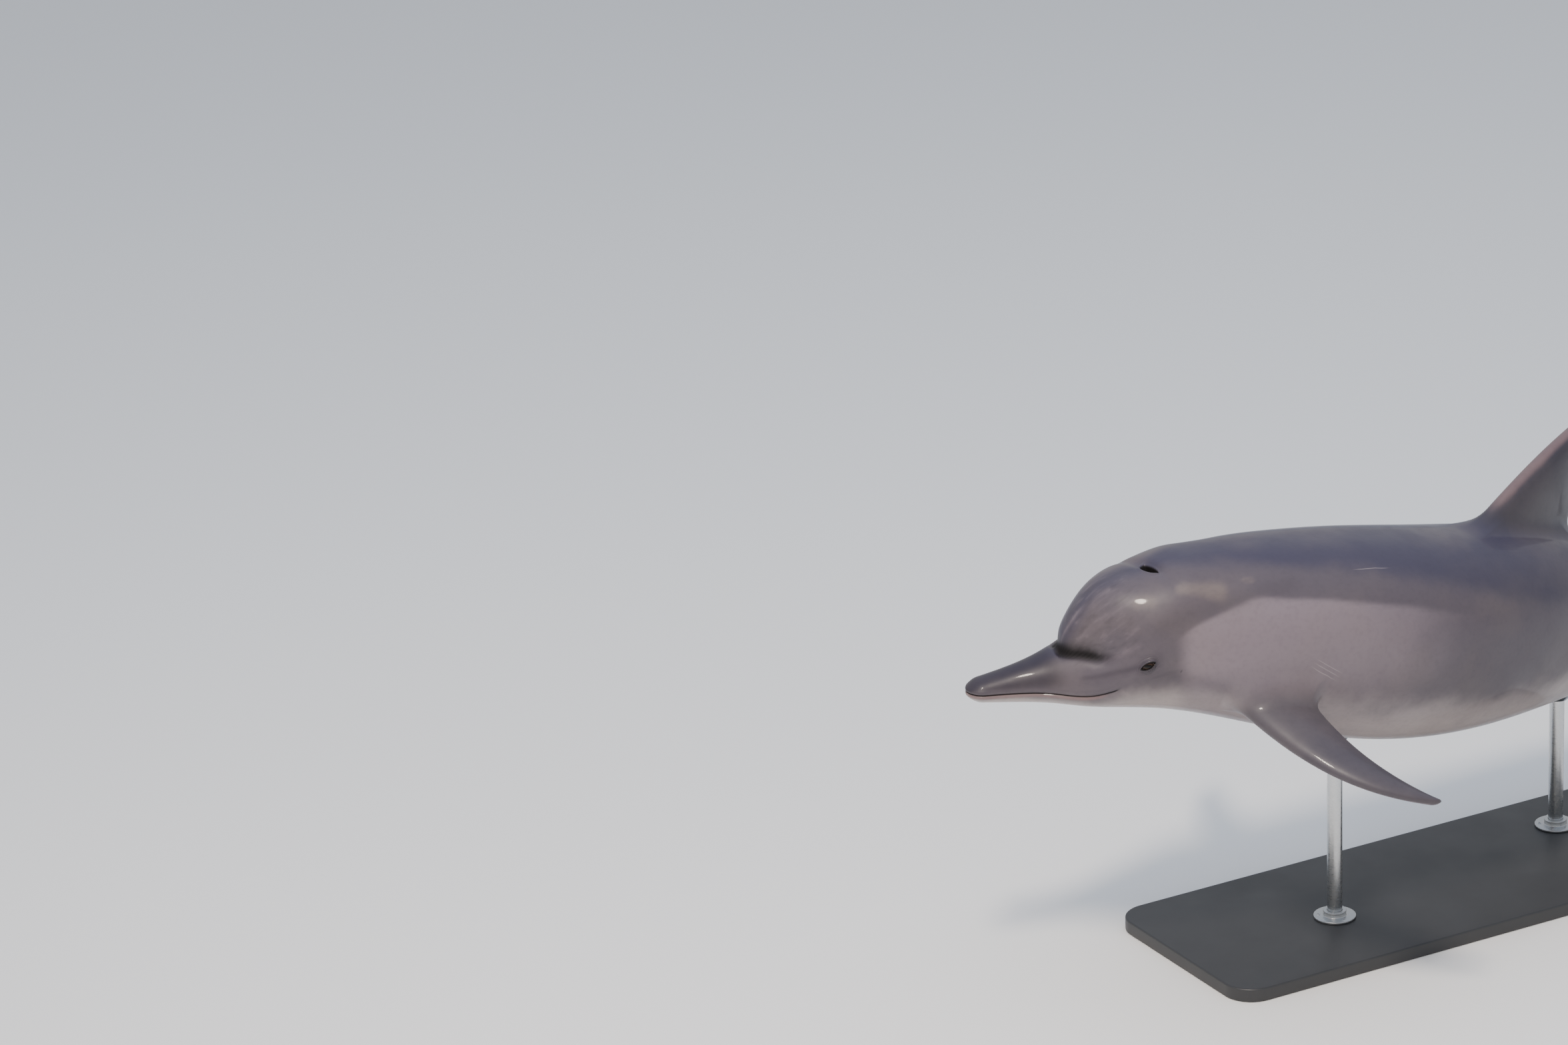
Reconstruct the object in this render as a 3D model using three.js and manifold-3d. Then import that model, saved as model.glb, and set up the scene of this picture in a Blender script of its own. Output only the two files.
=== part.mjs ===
// A bottlenose dolphin, life size, as a still model on a plain display stand.
// Millimetres, +Z up. The origin is the middle of the base's underside. The head points towards -X,
// and the animal's right side lies towards +Y.
//
// The body is first described straight, as an anatomist's plate would draw it: x runs from the tip of
// the beak (0) to the notch of the flukes (near 1), y to the animal's right and z up, all in fractions
// of the body's length. One curve of the spine then bends every piece, fins included, into the pose.
import * as THREE from "three";
import { mergeVertices } from "three/addons/utils/BufferGeometryUtils.js";
import Module from "manifold-3d";

const wasm = await Module();
wasm.setup();

// ---- Driving dimensions -------------------------------------------------------------------------
const BODY_LENGTH = 2400; // tip of the beak to the notch of the flukes, along the spine
const GAP = 0.3; // clearance between neighbouring pieces
const SPINE_HEIGHT = 665; // of the pivot station's centre over the floor
const PIVOT_X = -300; // where the pivot station stands along the base
const PIVOT_Y = -38;
const PIVOT = 0.3; // the station about which the pose is bent
const LEAN = 2.5; // degrees, the back leaning to the animal's left

// The spine's course: pitch above 0 climbs towards the tail, yaw above 0 swings the tail to the right.
const POSE_STATIONS = [0, 0.1, 0.2, 0.32, 0.45, 0.62, 0.8, 1];
const PITCH = [1.5, 1.5, -6, -14.5, -13.5, -17.5, -15, -9];
const YAW = [-14.5, -14.5, -8.5, 0, 11, 17.5, 19, 17.5];

// The body's outline at its stations, in fractions of the length. The level is the height of the mouth
// line on the head and of the flank's widest line behind it.
const STATIONS = [0, 0.03, 0.065, 0.09, 0.12, 0.15, 0.2, 0.26, 0.33, 0.41, 0.5, 0.6, 0.7, 0.8, 0.88, 0.94, 1];
const BACK = [
  -0.0225, -0.0165, -0.007, 0.003, 0.02, 0.047, 0.0675, 0.0735, 0.079, 0.081, 0.0785, 0.066, 0.05, 0.037,
  0.027, 0.015, -0.001,
];
const BELLY = [
  -0.038, -0.042, -0.0465, -0.05, -0.055, -0.06, -0.07, -0.082, -0.09, -0.091, -0.084, -0.069, -0.05,
  -0.034, -0.023, -0.011, 0.003,
];
const HALF_WIDTH = [
  0.012, 0.015, 0.024, 0.038, 0.05, 0.056, 0.066, 0.076, 0.081, 0.08, 0.072, 0.056, 0.038, 0.022, 0.0145,
  0.0122, 0.0085,
];
const LEVEL = [
  -0.03, -0.031, -0.0325, -0.0325, -0.0225, -0.013, -0.007, -0.002, 0, 0.001, 0.002, 0.002, 0.002, 0.002,
  0.002, 0.002, 0.001,
];
// The section's fullness: 2 is an ellipse, less is keeled and more is boxy.
const FULLNESS_STATIONS = [0, 0.55, 0.7, 0.82, 0.9, 1];
const FULLNESS = [2.15, 2.15, 2, 1.75, 1.75, 2];

// The melon, the round forehead that rises out of the beak's root.
const MELON_STATIONS = [0.07, 0.076, 0.086, 0.099, 0.118, 0.14, 0.16, 0.23];
const MELON_TOP = [-0.012, 0.0035, 0.0225, 0.038, 0.0505, 0.0555, 0.0615, 0.062];
const MELON_HALF_WIDTH = [0.002, 0.012, 0.021, 0.0315, 0.043, 0.0535, 0.056, 0.056];
const MELON_FULLNESS = 2.7;
const MELON_BLEND = 0.004; // how softly the melon runs into the head

const NOSE_ROUNDING = 0.012;
const TAIL_END = 0.981;
const TAIL_ROUNDING = 0.008;

// Where the body is parted, station by station.
const BEAK_END = 0.072;
const GAPE_CORNER = 0.112;
const HEAD_END = 0.18;
const CHEST_END = 0.33;
const TRUNK_END = 0.6;
const LOIN_END = 0.76;
const NOSE = 0.0003; // the first and last sections, just inside the rounded ends
const TAIL = TAIL_END - 0.0003;
const AROUND = 32; // facets round the body
const SPACING = [[0, 0.0037], [NOSE_ROUNDING, 0.0078], [0.104, 0.0125], [0.2, 0.029], [0.95, 0.012]];

// Eyes: real eyeballs that stand a little out of the head's side.
const EYE_STATION = 0.133;
const EYE_ANGLE = 77; // degrees from straight up
const EYE_RADIUS = 15;
const EYE_DEPTH = 12; // of the eyeball's centre under the skin
const BROW_HEIGHT = 0.0016; // how far the lids' ring swells out of the cheek
const BROW_REACH = 0.0115;

// The blowhole, one crescent on top of the head.
const BLOWHOLE_STATION = 0.149;
const BLOWHOLE_SIZE = [20, 44, 14]; // along, across and deep
const BLOWHOLE_OFFSET = -13; // towards the animal's left

// Fins: front and rear edges as Bezier curves in the fin's own plane, [along the body, out].
const DORSAL_FRONT = [[0.426, -0.03], [0.477, 0.024], [0.566, 0.096], [0.611, 0.107]];
const DORSAL_REAR = [[0.584, -0.03], [0.57, 0.036], [0.586, 0.079], [0.619, 0.101]];
const DORSAL_FOOT = 0.0815; // height of the fin's foot in the body
const DORSAL_HALF_THICKNESS = [0.0125, 0.0085, 0.003]; // foot, middle and tip
const FLIPPER_FRONT = [[-0.012, -0.03], [0.012, 0.055], [0.045, 0.112], [0.1, 0.135]];
const FLIPPER_REAR = [[0.055, -0.03], [0.058, 0.04], [0.072, 0.085], [0.108, 0.1325]];
const FLIPPER_ROOT = [0.208, 0.06, -0.042]; // station, distance from the middle, height
const FLIPPER_DROOP = 21; // degrees below level
const FLIPPER_TWIST = 8; // degrees, the front edge turned down
const FLIPPER_HALF_THICKNESS = [0.0105, 0.0068, 0.0026];
const FLUKE_FRONT = [[0.884, -0.004], [0.918, 0.026], [0.948, 0.094], [0.996, 0.1225]];
const FLUKE_REAR = [[0.966, -0.004], [0.999, 0.02], [0.985, 0.086], [1.005, 0.1235]];
const FLUKE_LEVEL = 0.0015;
const FLUKE_HALF_THICKNESS = [0.0115, 0.0065, 0.0024];
const TIP_REACH = 0.5; // a rounded tip's length in tip chords
const EDGE_HALF_THICKNESS = 0.0006; // keeps the rear edges from running out to nothing
const FIN_TAPER = 1.8; // how a fin's section thins behind its thickest third
const FIN_PEAK = 0.4; // the section's height before it is scaled to its half thickness
const TIP_RINGS = [30, 55, 75]; // degrees round a fin's rounded tip

// The stand.
const BASE_SIZE = [1180, 460, 28];
const BASE_CORNER = 60;
const BASE_BEVEL = 3;
const ROD_RADIUS = 15;
const ROD_STATIONS = { front: 0.35, rear: 0.62 };
const COLLAR_RADIUS = 42;
const COLLAR_HEIGHT = 16;
const COLLAR_FLANGE = 5; // its thickness
const COLLAR_SLOPE = 4;
const COLLAR_WALL = 8;
const CUP_RADIUS = 36;
const CUP_HEIGHT = 34;
const CUP_SLOPE = 13;
const CUP_WALL = 7; // at its foot
const TURNED_FACETS = 20;

// ---- Curves -------------------------------------------------------------------------------------
/** A natural cubic spline through the values at the keys, as a function. */
function spline(keys, values) {
  const last = keys.length - 1;
  const curvature = new Array(last + 1).fill(0);
  const slack = new Array(last + 1).fill(0);
  for (let i = 1; i < last; i++) {
    const share = (keys[i] - keys[i - 1]) / (keys[i + 1] - keys[i - 1]);
    const pivot = share * curvature[i - 1] + 2;
    const rise = (values[i + 1] - values[i]) / (keys[i + 1] - keys[i]);
    const before = (values[i] - values[i - 1]) / (keys[i] - keys[i - 1]);
    curvature[i] = (share - 1) / pivot;
    slack[i] = ((6 * (rise - before)) / (keys[i + 1] - keys[i - 1]) - share * slack[i - 1]) / pivot;
  }
  for (let i = last - 1; i >= 0; i--) curvature[i] = curvature[i] * curvature[i + 1] + slack[i];
  return (place) => {
    const x = Math.min(Math.max(place, keys[0]), keys[last]);
    let i = 0;
    while (i < last - 1 && x > keys[i + 1]) i++;
    const step = keys[i + 1] - keys[i];
    const a = (keys[i + 1] - x) / step;
    const b = (x - keys[i]) / step;
    const bend = ((a ** 3 - a) * curvature[i] + (b ** 3 - b) * curvature[i + 1]) * step * step;
    return a * values[i] + b * values[i + 1] + bend / 6;
  };
}

/** A point of the cubic Bezier curve with four control points in a plane. */
function bezier(points, v) {
  const w = 1 - v;
  const weights = [w ** 3, 3 * w * w * v, 3 * w * v * v, v ** 3];
  return [0, 1].map((axis) => weights.reduce((sum, weight, i) => sum + weight * points[i][axis], 0));
}

/** Evenly stepped numbers from first to last. */
function steps(first, last, count) {
  return Array.from({ length: count + 1 }, (_, i) => first + ((last - first) * i) / count);
}

const back = spline(STATIONS, BACK);
const belly = spline(STATIONS, BELLY);
const halfWidth = spline(STATIONS, HALF_WIDTH);
const level = spline(STATIONS, LEVEL);
const fullness = spline(FULLNESS_STATIONS, FULLNESS);
const melonTop = spline(MELON_STATIONS, MELON_TOP);
const melonHalfWidth = spline(MELON_STATIONS, MELON_HALF_WIDTH);
const pitch = spline(POSE_STATIONS, PITCH);
const yaw = spline(POSE_STATIONS, YAW);

// ---- The spine's bend ---------------------------------------------------------------------------
const SPINE_STEP = 0.0005;
const SPINE_START = -0.05;
const SPINE_FINISH = 1.1;
const spinePoints = [new THREE.Vector3()];

/** The spine's direction and its sideways and upward axes at a station. */
function spineAxes(station) {
  const up = THREE.MathUtils.degToRad(pitch(station));
  const aside = THREE.MathUtils.degToRad(yaw(station));
  const along = new THREE.Vector3(
    Math.cos(up) * Math.cos(aside),
    Math.cos(up) * Math.sin(aside),
    Math.sin(up),
  );
  const across = new THREE.Vector3(-Math.sin(aside), Math.cos(aside), 0);
  return { along, across, over: along.clone().cross(across) };
}

while (SPINE_START + spinePoints.length * SPINE_STEP <= SPINE_FINISH) {
  const { along } = spineAxes(SPINE_START + (spinePoints.length - 0.5) * SPINE_STEP);
  spinePoints.push(spinePoints.at(-1).clone().addScaledVector(along, SPINE_STEP));
}

/** The spine's centre at a station, in fractions of the length. */
function spinePoint(station) {
  const place = (station - SPINE_START) / SPINE_STEP;
  const i = Math.floor(place);
  return spinePoints[i].clone().lerp(spinePoints[i + 1], place - i);
}

const pivotPoint = spinePoint(PIVOT);
const lean = new THREE.Quaternion().setFromAxisAngle(
  new THREE.Vector3(1, 0, 0),
  THREE.MathUtils.degToRad(LEAN),
);

/** Takes a point of the straight body to its place in the posed model, in millimetres. */
function posed([x, y, z]) {
  const { across, over } = spineAxes(x);
  const point = spinePoint(x).sub(pivotPoint).addScaledVector(across, y).addScaledVector(over, z);
  point.multiplyScalar(BODY_LENGTH).applyQuaternion(lean);
  return point.add(new THREE.Vector3(PIVOT_X, PIVOT_Y, SPINE_HEIGHT));
}

// ---- The body's surface -------------------------------------------------------------------------
/** The radius of a superellipse quarter with the given half width and height, at an angle. */
function superellipse(angle, width, height, power) {
  const side = (Math.abs(Math.sin(angle)) / width) ** power;
  return (side + (Math.abs(Math.cos(angle)) / height) ** power) ** (-1 / power);
}

/** A rounded end: 0 at the end, 1 past the rounding, along a quarter of an ellipse. */
function rounded(distance, reach) {
  const share = Math.min(Math.max(distance / reach, 0), 1);
  return Math.sqrt(1 - (1 - share) ** 2);
}

/** The larger of two radii, with a soft change from one to the other. */
function softMax(a, b, reach) {
  const near = Math.max(reach - Math.abs(a - b), 0);
  return Math.max(a, b) + (near * near) / (4 * reach);
}

/** The body's radius about its level line: trunk, melon, and the swelling round each eye. */
function bodyRadius(station, angle) {
  const ends = rounded(station, NOSE_ROUNDING) * rounded(TAIL_END - station, TAIL_ROUNDING);
  const middle = level(station);
  const above = Math.cos(angle) > 0;
  const width = Math.max(halfWidth(station) * ends, 1e-5);
  const height = Math.max((above ? back(station) - middle : middle - belly(station)) * ends, 1e-5);
  let radius = superellipse(angle, width, height, fullness(station));
  if (above && station > MELON_STATIONS[0] && station < MELON_STATIONS.at(-1)) {
    const top = Math.max(melonTop(station) - middle, 1e-4);
    const side = Math.max(melonHalfWidth(station), 1e-4);
    radius = softMax(radius, superellipse(angle, side, top, MELON_FULLNESS), MELON_BLEND);
  }
  const turn = Math.abs(angle > Math.PI ? angle - 2 * Math.PI : angle);
  const aside = (turn - THREE.MathUtils.degToRad(EYE_ANGLE)) * radius;
  const away = ((station - EYE_STATION) ** 2 + aside ** 2) / BROW_REACH ** 2;
  return radius + BROW_HEIGHT * Math.exp(-away);
}

/** A point of the straight body's surface, pushed out by a distance in millimetres. */
function surfacePoint(station, angle, out = 0) {
  const radius = bodyRadius(station, angle) + out / BODY_LENGTH;
  return [station, radius * Math.sin(angle), level(station) + radius * Math.cos(angle)];
}

/** The closed loop of one section, from straight up round by the right side. */
function bodyLoop(station, out = 0) {
  const angles = steps(0, 2 * Math.PI, AROUND).slice(0, AROUND);
  return angles.map((angle) => posed(surfacePoint(station, angle, out)));
}

/** Stations that crowd where the head changes fast and spread along the trunk. */
function stationsBetween(first, last) {
  const stations = [first];
  while (stations.at(-1) < last) {
    const [, step] = SPACING.findLast(([start]) => stations.at(-1) >= start);
    stations.push(stations.at(-1) + step);
  }
  const spare = (stations.at(-1) - last) / (stations.length - 1);
  return stations.map((station, i) => station - spare * i);
}

// ---- Solids -------------------------------------------------------------------------------------
/** A closed solid through equal loops, with a fan over each end. */
function loft(loops) {
  const count = loops[0].length;
  const points = loops.flat();
  const faces = [];
  for (let i = 0; i + 1 < loops.length; i++) {
    for (let j = 0; j < count; j++) {
      const a = i * count + j;
      const b = i * count + ((j + 1) % count);
      faces.push(a, a + count, b, b, a + count, b + count);
    }
  }
  const middle = (loop) => loop.reduce((sum, p) => sum.add(p), new THREE.Vector3()).divideScalar(count);
  const front = points.push(middle(loops[0])) - 1;
  const rear = points.push(middle(loops.at(-1))) - 1;
  const start = (loops.length - 1) * count;
  for (let j = 0; j < count; j++) {
    const next = (j + 1) % count;
    faces.push(front, j, next);
    faces.push(rear, start + next, start + j);
  }
  return solid(points, faces);
}

/** A manifold solid from points and triangles, turned right way out. */
function solid(points, faces) {
  let volume = 0;
  for (let i = 0; i < faces.length; i += 3) {
    const [a, b, c] = [points[faces[i]], points[faces[i + 1]], points[faces[i + 2]]];
    volume += a.dot(b.clone().cross(c));
  }
  const triangles = volume > 0 ? faces : faces.toReversed();
  return new wasm.Manifold(
    new wasm.Mesh({
      numProp: 3,
      vertProperties: new Float32Array(points.flatMap((p) => p.toArray())),
      triVerts: new Uint32Array(triangles),
    }),
  );
}

/** A manifold solid from one of three's closed geometries. */
function fromGeometry(geometry) {
  geometry.deleteAttribute("normal");
  geometry.deleteAttribute("uv");
  const merged = mergeVertices(geometry, 1e-4);
  const position = merged.attributes.position;
  const points = steps(0, position.count - 1, position.count - 1).map((i) =>
    new THREE.Vector3().fromBufferAttribute(position, Math.round(i)),
  );
  return solid(points, Array.from(merged.index.array));
}

/** The stations of one length of the body, half a gap short of each cut. */
function lengthStations(first, last) {
  const half = GAP / 2 / BODY_LENGTH;
  return stationsBetween(first + half, last - half);
}

/** The body between two cuts, as one solid. */
function bodyLength(first, last) {
  return loft(lengthStations(first, last).map((station) => bodyLoop(station)));
}

/** Several lengths of the body joined in one solid, grown by a distance. */
function joinedLengths(cuts, out) {
  const stations = cuts.slice(1).flatMap((last, i) => lengthStations(cuts[i], last));
  return loft(stations.map((station) => bodyLoop(station, out)));
}

/** All that lies under the mouth line, up to a station, with its top moved by a distance. */
function underMouth(last, rise) {
  const reach = 0.1;
  const stations = steps(-0.02, last, 12);
  return loft(
    stations.map((station) => {
      const top = level(station) + rise / BODY_LENGTH;
      const corners = [[-reach, top], [0, top], [reach, top], [reach, -reach], [-reach, -reach]];
      return corners.map(([y, z]) => posed([station, y, z]));
    }),
  );
}

/** A fin's outline, half thickness and rounded tip, as loops from its foot to its tip. */
function finLoops({ front, rear, halfThickness, place, spans, around }) {
  const thickness = spline([0, 0.5, 1], halfThickness);
  const loops = [];
  const ring = (v, shrink, beyond) => {
    const [frontX, frontOut] = bezier(front, v);
    const [rearX, rearOut] = bezier(rear, v);
    const chord = [rearX - frontX, rearOut - frontOut];
    const run = [0, 1].map((axis) => front[3][axis] + rear[3][axis] - front[2][axis] - rear[2][axis]);
    const length = Math.hypot(...run);
    const loop = steps(0, 2 * Math.PI, around).slice(0, around).map((turn) => {
      const share = 0.5 - 0.5 * Math.cos(turn) * shrink;
      const behind = Math.cos(turn / 2);
      const lens = (Math.sin(turn / 2) * Math.abs(behind) ** FIN_TAPER * Math.sign(behind)) / FIN_PEAK;
      const out = (thickness(v) * lens + EDGE_HALF_THICKNESS * Math.sin(turn)) * shrink;
      const along = frontX + chord[0] * share + (beyond * run[0]) / length;
      const outward = frontOut + chord[1] * share + (beyond * run[1]) / length;
      return posed(place(along, outward, out));
    });
    loops.push(loop);
  };
  steps(0, 1, spans).forEach((v) => ring(v, 1, 0));
  const tipChord = new THREE.Vector2(...front[3]).distanceTo(new THREE.Vector2(...rear[3]));
  TIP_RINGS.forEach((degrees) => {
    const turn = THREE.MathUtils.degToRad(degrees);
    ring(1, Math.cos(turn), Math.sin(turn) * tipChord * TIP_REACH);
  });
  return loops;
}

function dorsalFin() {
  const place = (along, out, aside) => [along, aside, DORSAL_FOOT + out];
  const halfThickness = DORSAL_HALF_THICKNESS;
  return loft(
    finLoops({ front: DORSAL_FRONT, rear: DORSAL_REAR, halfThickness, place, spans: 11, around: 16 }),
  );
}

/** One flipper: side is 1 on the right and -1 on the left. */
function flipper(side) {
  const droop = THREE.MathUtils.degToRad(FLIPPER_DROOP);
  const twist = THREE.MathUtils.degToRad(FLIPPER_TWIST);
  const [station, aside, height] = FLIPPER_ROOT;
  const place = (along, out, over) => {
    const back = along * Math.cos(twist) + over * Math.sin(twist);
    const lift = over * Math.cos(twist) + along * Math.sin(twist);
    const outward = aside + out * Math.cos(droop) + lift * Math.sin(droop);
    return [station + back, side * outward, height - out * Math.sin(droop) + lift * Math.cos(droop)];
  };
  const halfThickness = FLIPPER_HALF_THICKNESS;
  return loft(
    finLoops({ front: FLIPPER_FRONT, rear: FLIPPER_REAR, halfThickness, place, spans: 10, around: 14 }),
  );
}

/** One fluke: side is 1 on the right and -1 on the left. */
function fluke(side) {
  const middle = GAP / 2 / BODY_LENGTH;
  const place = (along, out, over) => [along, side * Math.max(out, middle), FLUKE_LEVEL + over];
  const halfThickness = FLUKE_HALF_THICKNESS;
  return loft(
    finLoops({ front: FLUKE_FRONT, rear: FLUKE_REAR, halfThickness, place, spans: 11, around: 14 }),
  );
}

/** The eyeball's centre on one side. */
function eyeCentre(side) {
  const angle = side * THREE.MathUtils.degToRad(EYE_ANGLE);
  return posed(surfacePoint(EYE_STATION, angle, -EYE_DEPTH));
}

function eyeball(side, out = 0) {
  const centre = eyeCentre(side);
  const geometry = new THREE.SphereGeometry(EYE_RADIUS + out, 14, 9);
  return fromGeometry(geometry.translate(centre.x, centre.y, centre.z));
}

/** The blowhole's hollow: a small bowl sunk into the top of the head. */
function blowhole() {
  const [along, across, deep] = BLOWHOLE_SIZE;
  const geometry = new THREE.SphereGeometry(0.5, 12, 7).scale(along, across, 2 * deep);
  const angle = BLOWHOLE_OFFSET / (bodyRadius(BLOWHOLE_STATION, 0) * BODY_LENGTH);
  const centre = posed(surfacePoint(BLOWHOLE_STATION, angle));
  return fromGeometry(geometry.translate(centre.x, centre.y, centre.z));
}

// ---- The stand ----------------------------------------------------------------------------------
/** Where a rod stands: under the belly's lowest line at its station. */
function rodFoot(station) {
  const lowest = posed(surfacePoint(station, Math.PI));
  return { x: lowest.x, y: lowest.y, top: lowest.z };
}

function standBase() {
  const [length, width, thickness] = BASE_SIZE.map((size, axis) => size - (axis < 2 ? 2 * BASE_BEVEL : 0));
  const x = length / 2;
  const y = width / 2;
  const outline = new THREE.Shape();
  outline.absarc(x - BASE_CORNER, y - BASE_CORNER, BASE_CORNER, 0, Math.PI / 2);
  outline.absarc(BASE_CORNER - x, y - BASE_CORNER, BASE_CORNER, Math.PI / 2, Math.PI);
  outline.absarc(BASE_CORNER - x, BASE_CORNER - y, BASE_CORNER, Math.PI, 1.5 * Math.PI);
  outline.absarc(x - BASE_CORNER, BASE_CORNER - y, BASE_CORNER, 1.5 * Math.PI, 2 * Math.PI);
  const geometry = new THREE.ExtrudeGeometry(outline, {
    depth: thickness - 2 * BASE_BEVEL,
    bevelSize: BASE_BEVEL,
    bevelThickness: BASE_BEVEL,
    bevelSegments: 1,
    curveSegments: 6,
  });
  return fromGeometry(geometry.translate(0, 0, BASE_BEVEL));
}

/** A turned piece from its profile of radius and height pairs, stood upright at a foot. */
function turned(profile, { x, y }) {
  const points = profile.map(([radius, height]) => new THREE.Vector2(radius, height));
  const geometry = new THREE.LatheGeometry(points, TURNED_FACETS).rotateX(Math.PI / 2);
  return fromGeometry(geometry.translate(x, y, 0));
}

function rod(foot) {
  const bottom = BASE_SIZE[2] + GAP;
  const top = foot.top + ROD_RADIUS;
  return turned([[0, bottom], [ROD_RADIUS, bottom], [ROD_RADIUS, top], [0, top]], foot);
}

/** The flanged ring that holds a rod's foot to the base. */
function collar(foot) {
  const bottom = BASE_SIZE[2] + GAP;
  const bore = ROD_RADIUS + GAP;
  const neck = ROD_RADIUS + COLLAR_WALL;
  const flange = bottom + COLLAR_FLANGE;
  const top = bottom + COLLAR_HEIGHT;
  const slope = [[COLLAR_RADIUS, flange], [neck, flange + COLLAR_SLOPE]];
  const outside = [[COLLAR_RADIUS, bottom], ...slope, [neck, top]];
  return turned([[bore, bottom], ...outside, [bore, top], [bore, bottom]], foot);
}

/** The cup that a rod carries under the belly. */
function cup(foot) {
  const bore = ROD_RADIUS + GAP;
  const bottom = foot.top - CUP_HEIGHT / 2;
  const top = bottom + CUP_HEIGHT;
  const outside = [[ROD_RADIUS + CUP_WALL, bottom], [CUP_RADIUS, bottom + CUP_SLOPE], [CUP_RADIUS, top]];
  return turned([[bore, bottom], ...outside, [bore, top], [bore, bottom]], foot);
}

// ---- Finishes -----------------------------------------------------------------------------------
const FINISH = {
  cape: { color: "#625e68", roughness: 0.28, metalness: 0 },
  flank: { color: "#77727a", roughness: 0.3, metalness: 0 },
  beak: { color: "#6b6168", roughness: 0.3, metalness: 0 },
  fin: { color: "#5a565c", roughness: 0.3, metalness: 0 },
  eye: { color: "#1c1614", roughness: 0.08, metalness: 0 },
  base: { color: "#2e2f31", roughness: 0.45, metalness: 0 },
  steel: { color: "#b9bbbd", roughness: 0.3, metalness: 1 },
};

/** A named mesh of a solid in one of the finishes. */
function piece(name, shape, finish) {
  const mesh = shape.getMesh();
  const geometry = new THREE.BufferGeometry();
  geometry.setAttribute("position", new THREE.BufferAttribute(mesh.vertProperties, 3));
  geometry.setIndex(new THREE.BufferAttribute(mesh.triVerts, 1));
  geometry.computeVertexNormals();
  const node = new THREE.Mesh(geometry, new THREE.MeshStandardMaterial(FINISH[finish]));
  node.name = name;
  return node;
}

// ---- Assembly -----------------------------------------------------------------------------------
const cuts = [NOSE, BEAK_END, HEAD_END, CHEST_END, TRUNK_END, LOIN_END, TAIL];
const bodyWithGap = joinedLengths(cuts, GAP); // which fins, rods and cups are cut by
const sides = { left: -1, right: 1 };
const dolphin = new THREE.Group();

const beak = bodyLength(NOSE, BEAK_END);
const mouthSplit = underMouth(GAPE_CORNER + GAP / BODY_LENGTH, GAP / 2);
const jaw = joinedLengths(cuts.slice(0, 3), 0).intersect(underMouth(GAPE_CORNER, -GAP / 2));
let head = bodyLength(BEAK_END, HEAD_END).subtract(mouthSplit).subtract(blowhole());
for (const side of Object.values(sides)) head = head.subtract(eyeball(side, GAP));

dolphin.add(piece("rostrum", beak.subtract(mouthSplit), "beak"));
dolphin.add(piece("lower_jaw", jaw, "beak"));
dolphin.add(piece("head", head, "flank"));
dolphin.add(piece("chest", bodyLength(HEAD_END, CHEST_END), "flank"));
dolphin.add(piece("trunk", bodyLength(CHEST_END, TRUNK_END), "flank"));
dolphin.add(piece("loin", bodyLength(TRUNK_END, LOIN_END), "flank"));
dolphin.add(piece("tail_stock", bodyLength(LOIN_END, TAIL), "cape"));
dolphin.add(piece("dorsal_fin", dorsalFin().subtract(bodyWithGap), "fin"));
for (const [name, side] of Object.entries(sides)) {
  dolphin.add(piece(`eye_${name}`, eyeball(side), "eye"));
  dolphin.add(piece(`flipper_${name}`, flipper(side).subtract(bodyWithGap), "fin"));
  dolphin.add(piece(`fluke_${name}`, fluke(side).subtract(bodyWithGap), "fin"));
}

dolphin.add(piece("stand_base", standBase(), "base"));
for (const [name, station] of Object.entries(ROD_STATIONS)) {
  const foot = rodFoot(station);
  dolphin.add(piece(`stand_rod_${name}`, rod(foot).subtract(bodyWithGap), "steel"));
  dolphin.add(piece(`stand_collar_${name}`, collar(foot), "steel"));
  dolphin.add(piece(`stand_cup_${name}`, cup(foot).subtract(bodyWithGap), "steel"));
}

export default dolphin;
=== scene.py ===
"""Looks of a still, life-size bottlenose dolphin held by a plain display stand.

One closed skin replaces every flesh solid of the frame: a body worked out as a surface of station and
angle, whose fins, eyelids, mouth and blowhole are woven into the same mesh. The eyeballs and the stand
are pieces of their own. Everything is in metres, in the frame's place.

The body is first described straight: x from the tip of the beak (0) towards the notch of the flukes
(near 1), y to the animal's right and z up, in fractions of the body's length. One curve of the spine
then bends every point, fins included, into the pose.
"""
import math

import bpy
import numpy as np
from bpy.props import FloatProperty, FloatVectorProperty, PointerProperty
from mathutils import Matrix, Vector


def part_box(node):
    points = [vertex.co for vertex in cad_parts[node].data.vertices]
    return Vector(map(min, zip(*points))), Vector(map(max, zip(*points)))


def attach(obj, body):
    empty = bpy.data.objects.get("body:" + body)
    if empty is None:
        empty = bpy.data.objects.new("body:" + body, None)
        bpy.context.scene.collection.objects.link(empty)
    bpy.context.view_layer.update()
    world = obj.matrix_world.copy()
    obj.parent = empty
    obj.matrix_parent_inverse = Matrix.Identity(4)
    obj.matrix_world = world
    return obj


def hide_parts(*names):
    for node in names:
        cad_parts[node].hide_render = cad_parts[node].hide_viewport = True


bl_info = {
    "name": "Bottlenose Dolphin Model",
    "version": (1, 0, 0),
    "blender": (4, 5, 0),
    "location": "View3D > Sidebar > Dolphin",
    "description": "Builds the skin, eyes, stand and stage of a life-size dolphin model",
    "category": "Object",
}

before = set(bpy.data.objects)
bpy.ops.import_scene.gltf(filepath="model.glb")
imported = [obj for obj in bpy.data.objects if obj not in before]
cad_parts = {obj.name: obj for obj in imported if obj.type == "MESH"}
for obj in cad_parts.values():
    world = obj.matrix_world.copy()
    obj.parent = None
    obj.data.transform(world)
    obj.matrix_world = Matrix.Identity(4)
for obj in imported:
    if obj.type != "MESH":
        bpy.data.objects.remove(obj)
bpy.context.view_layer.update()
MM = 0.001

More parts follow.
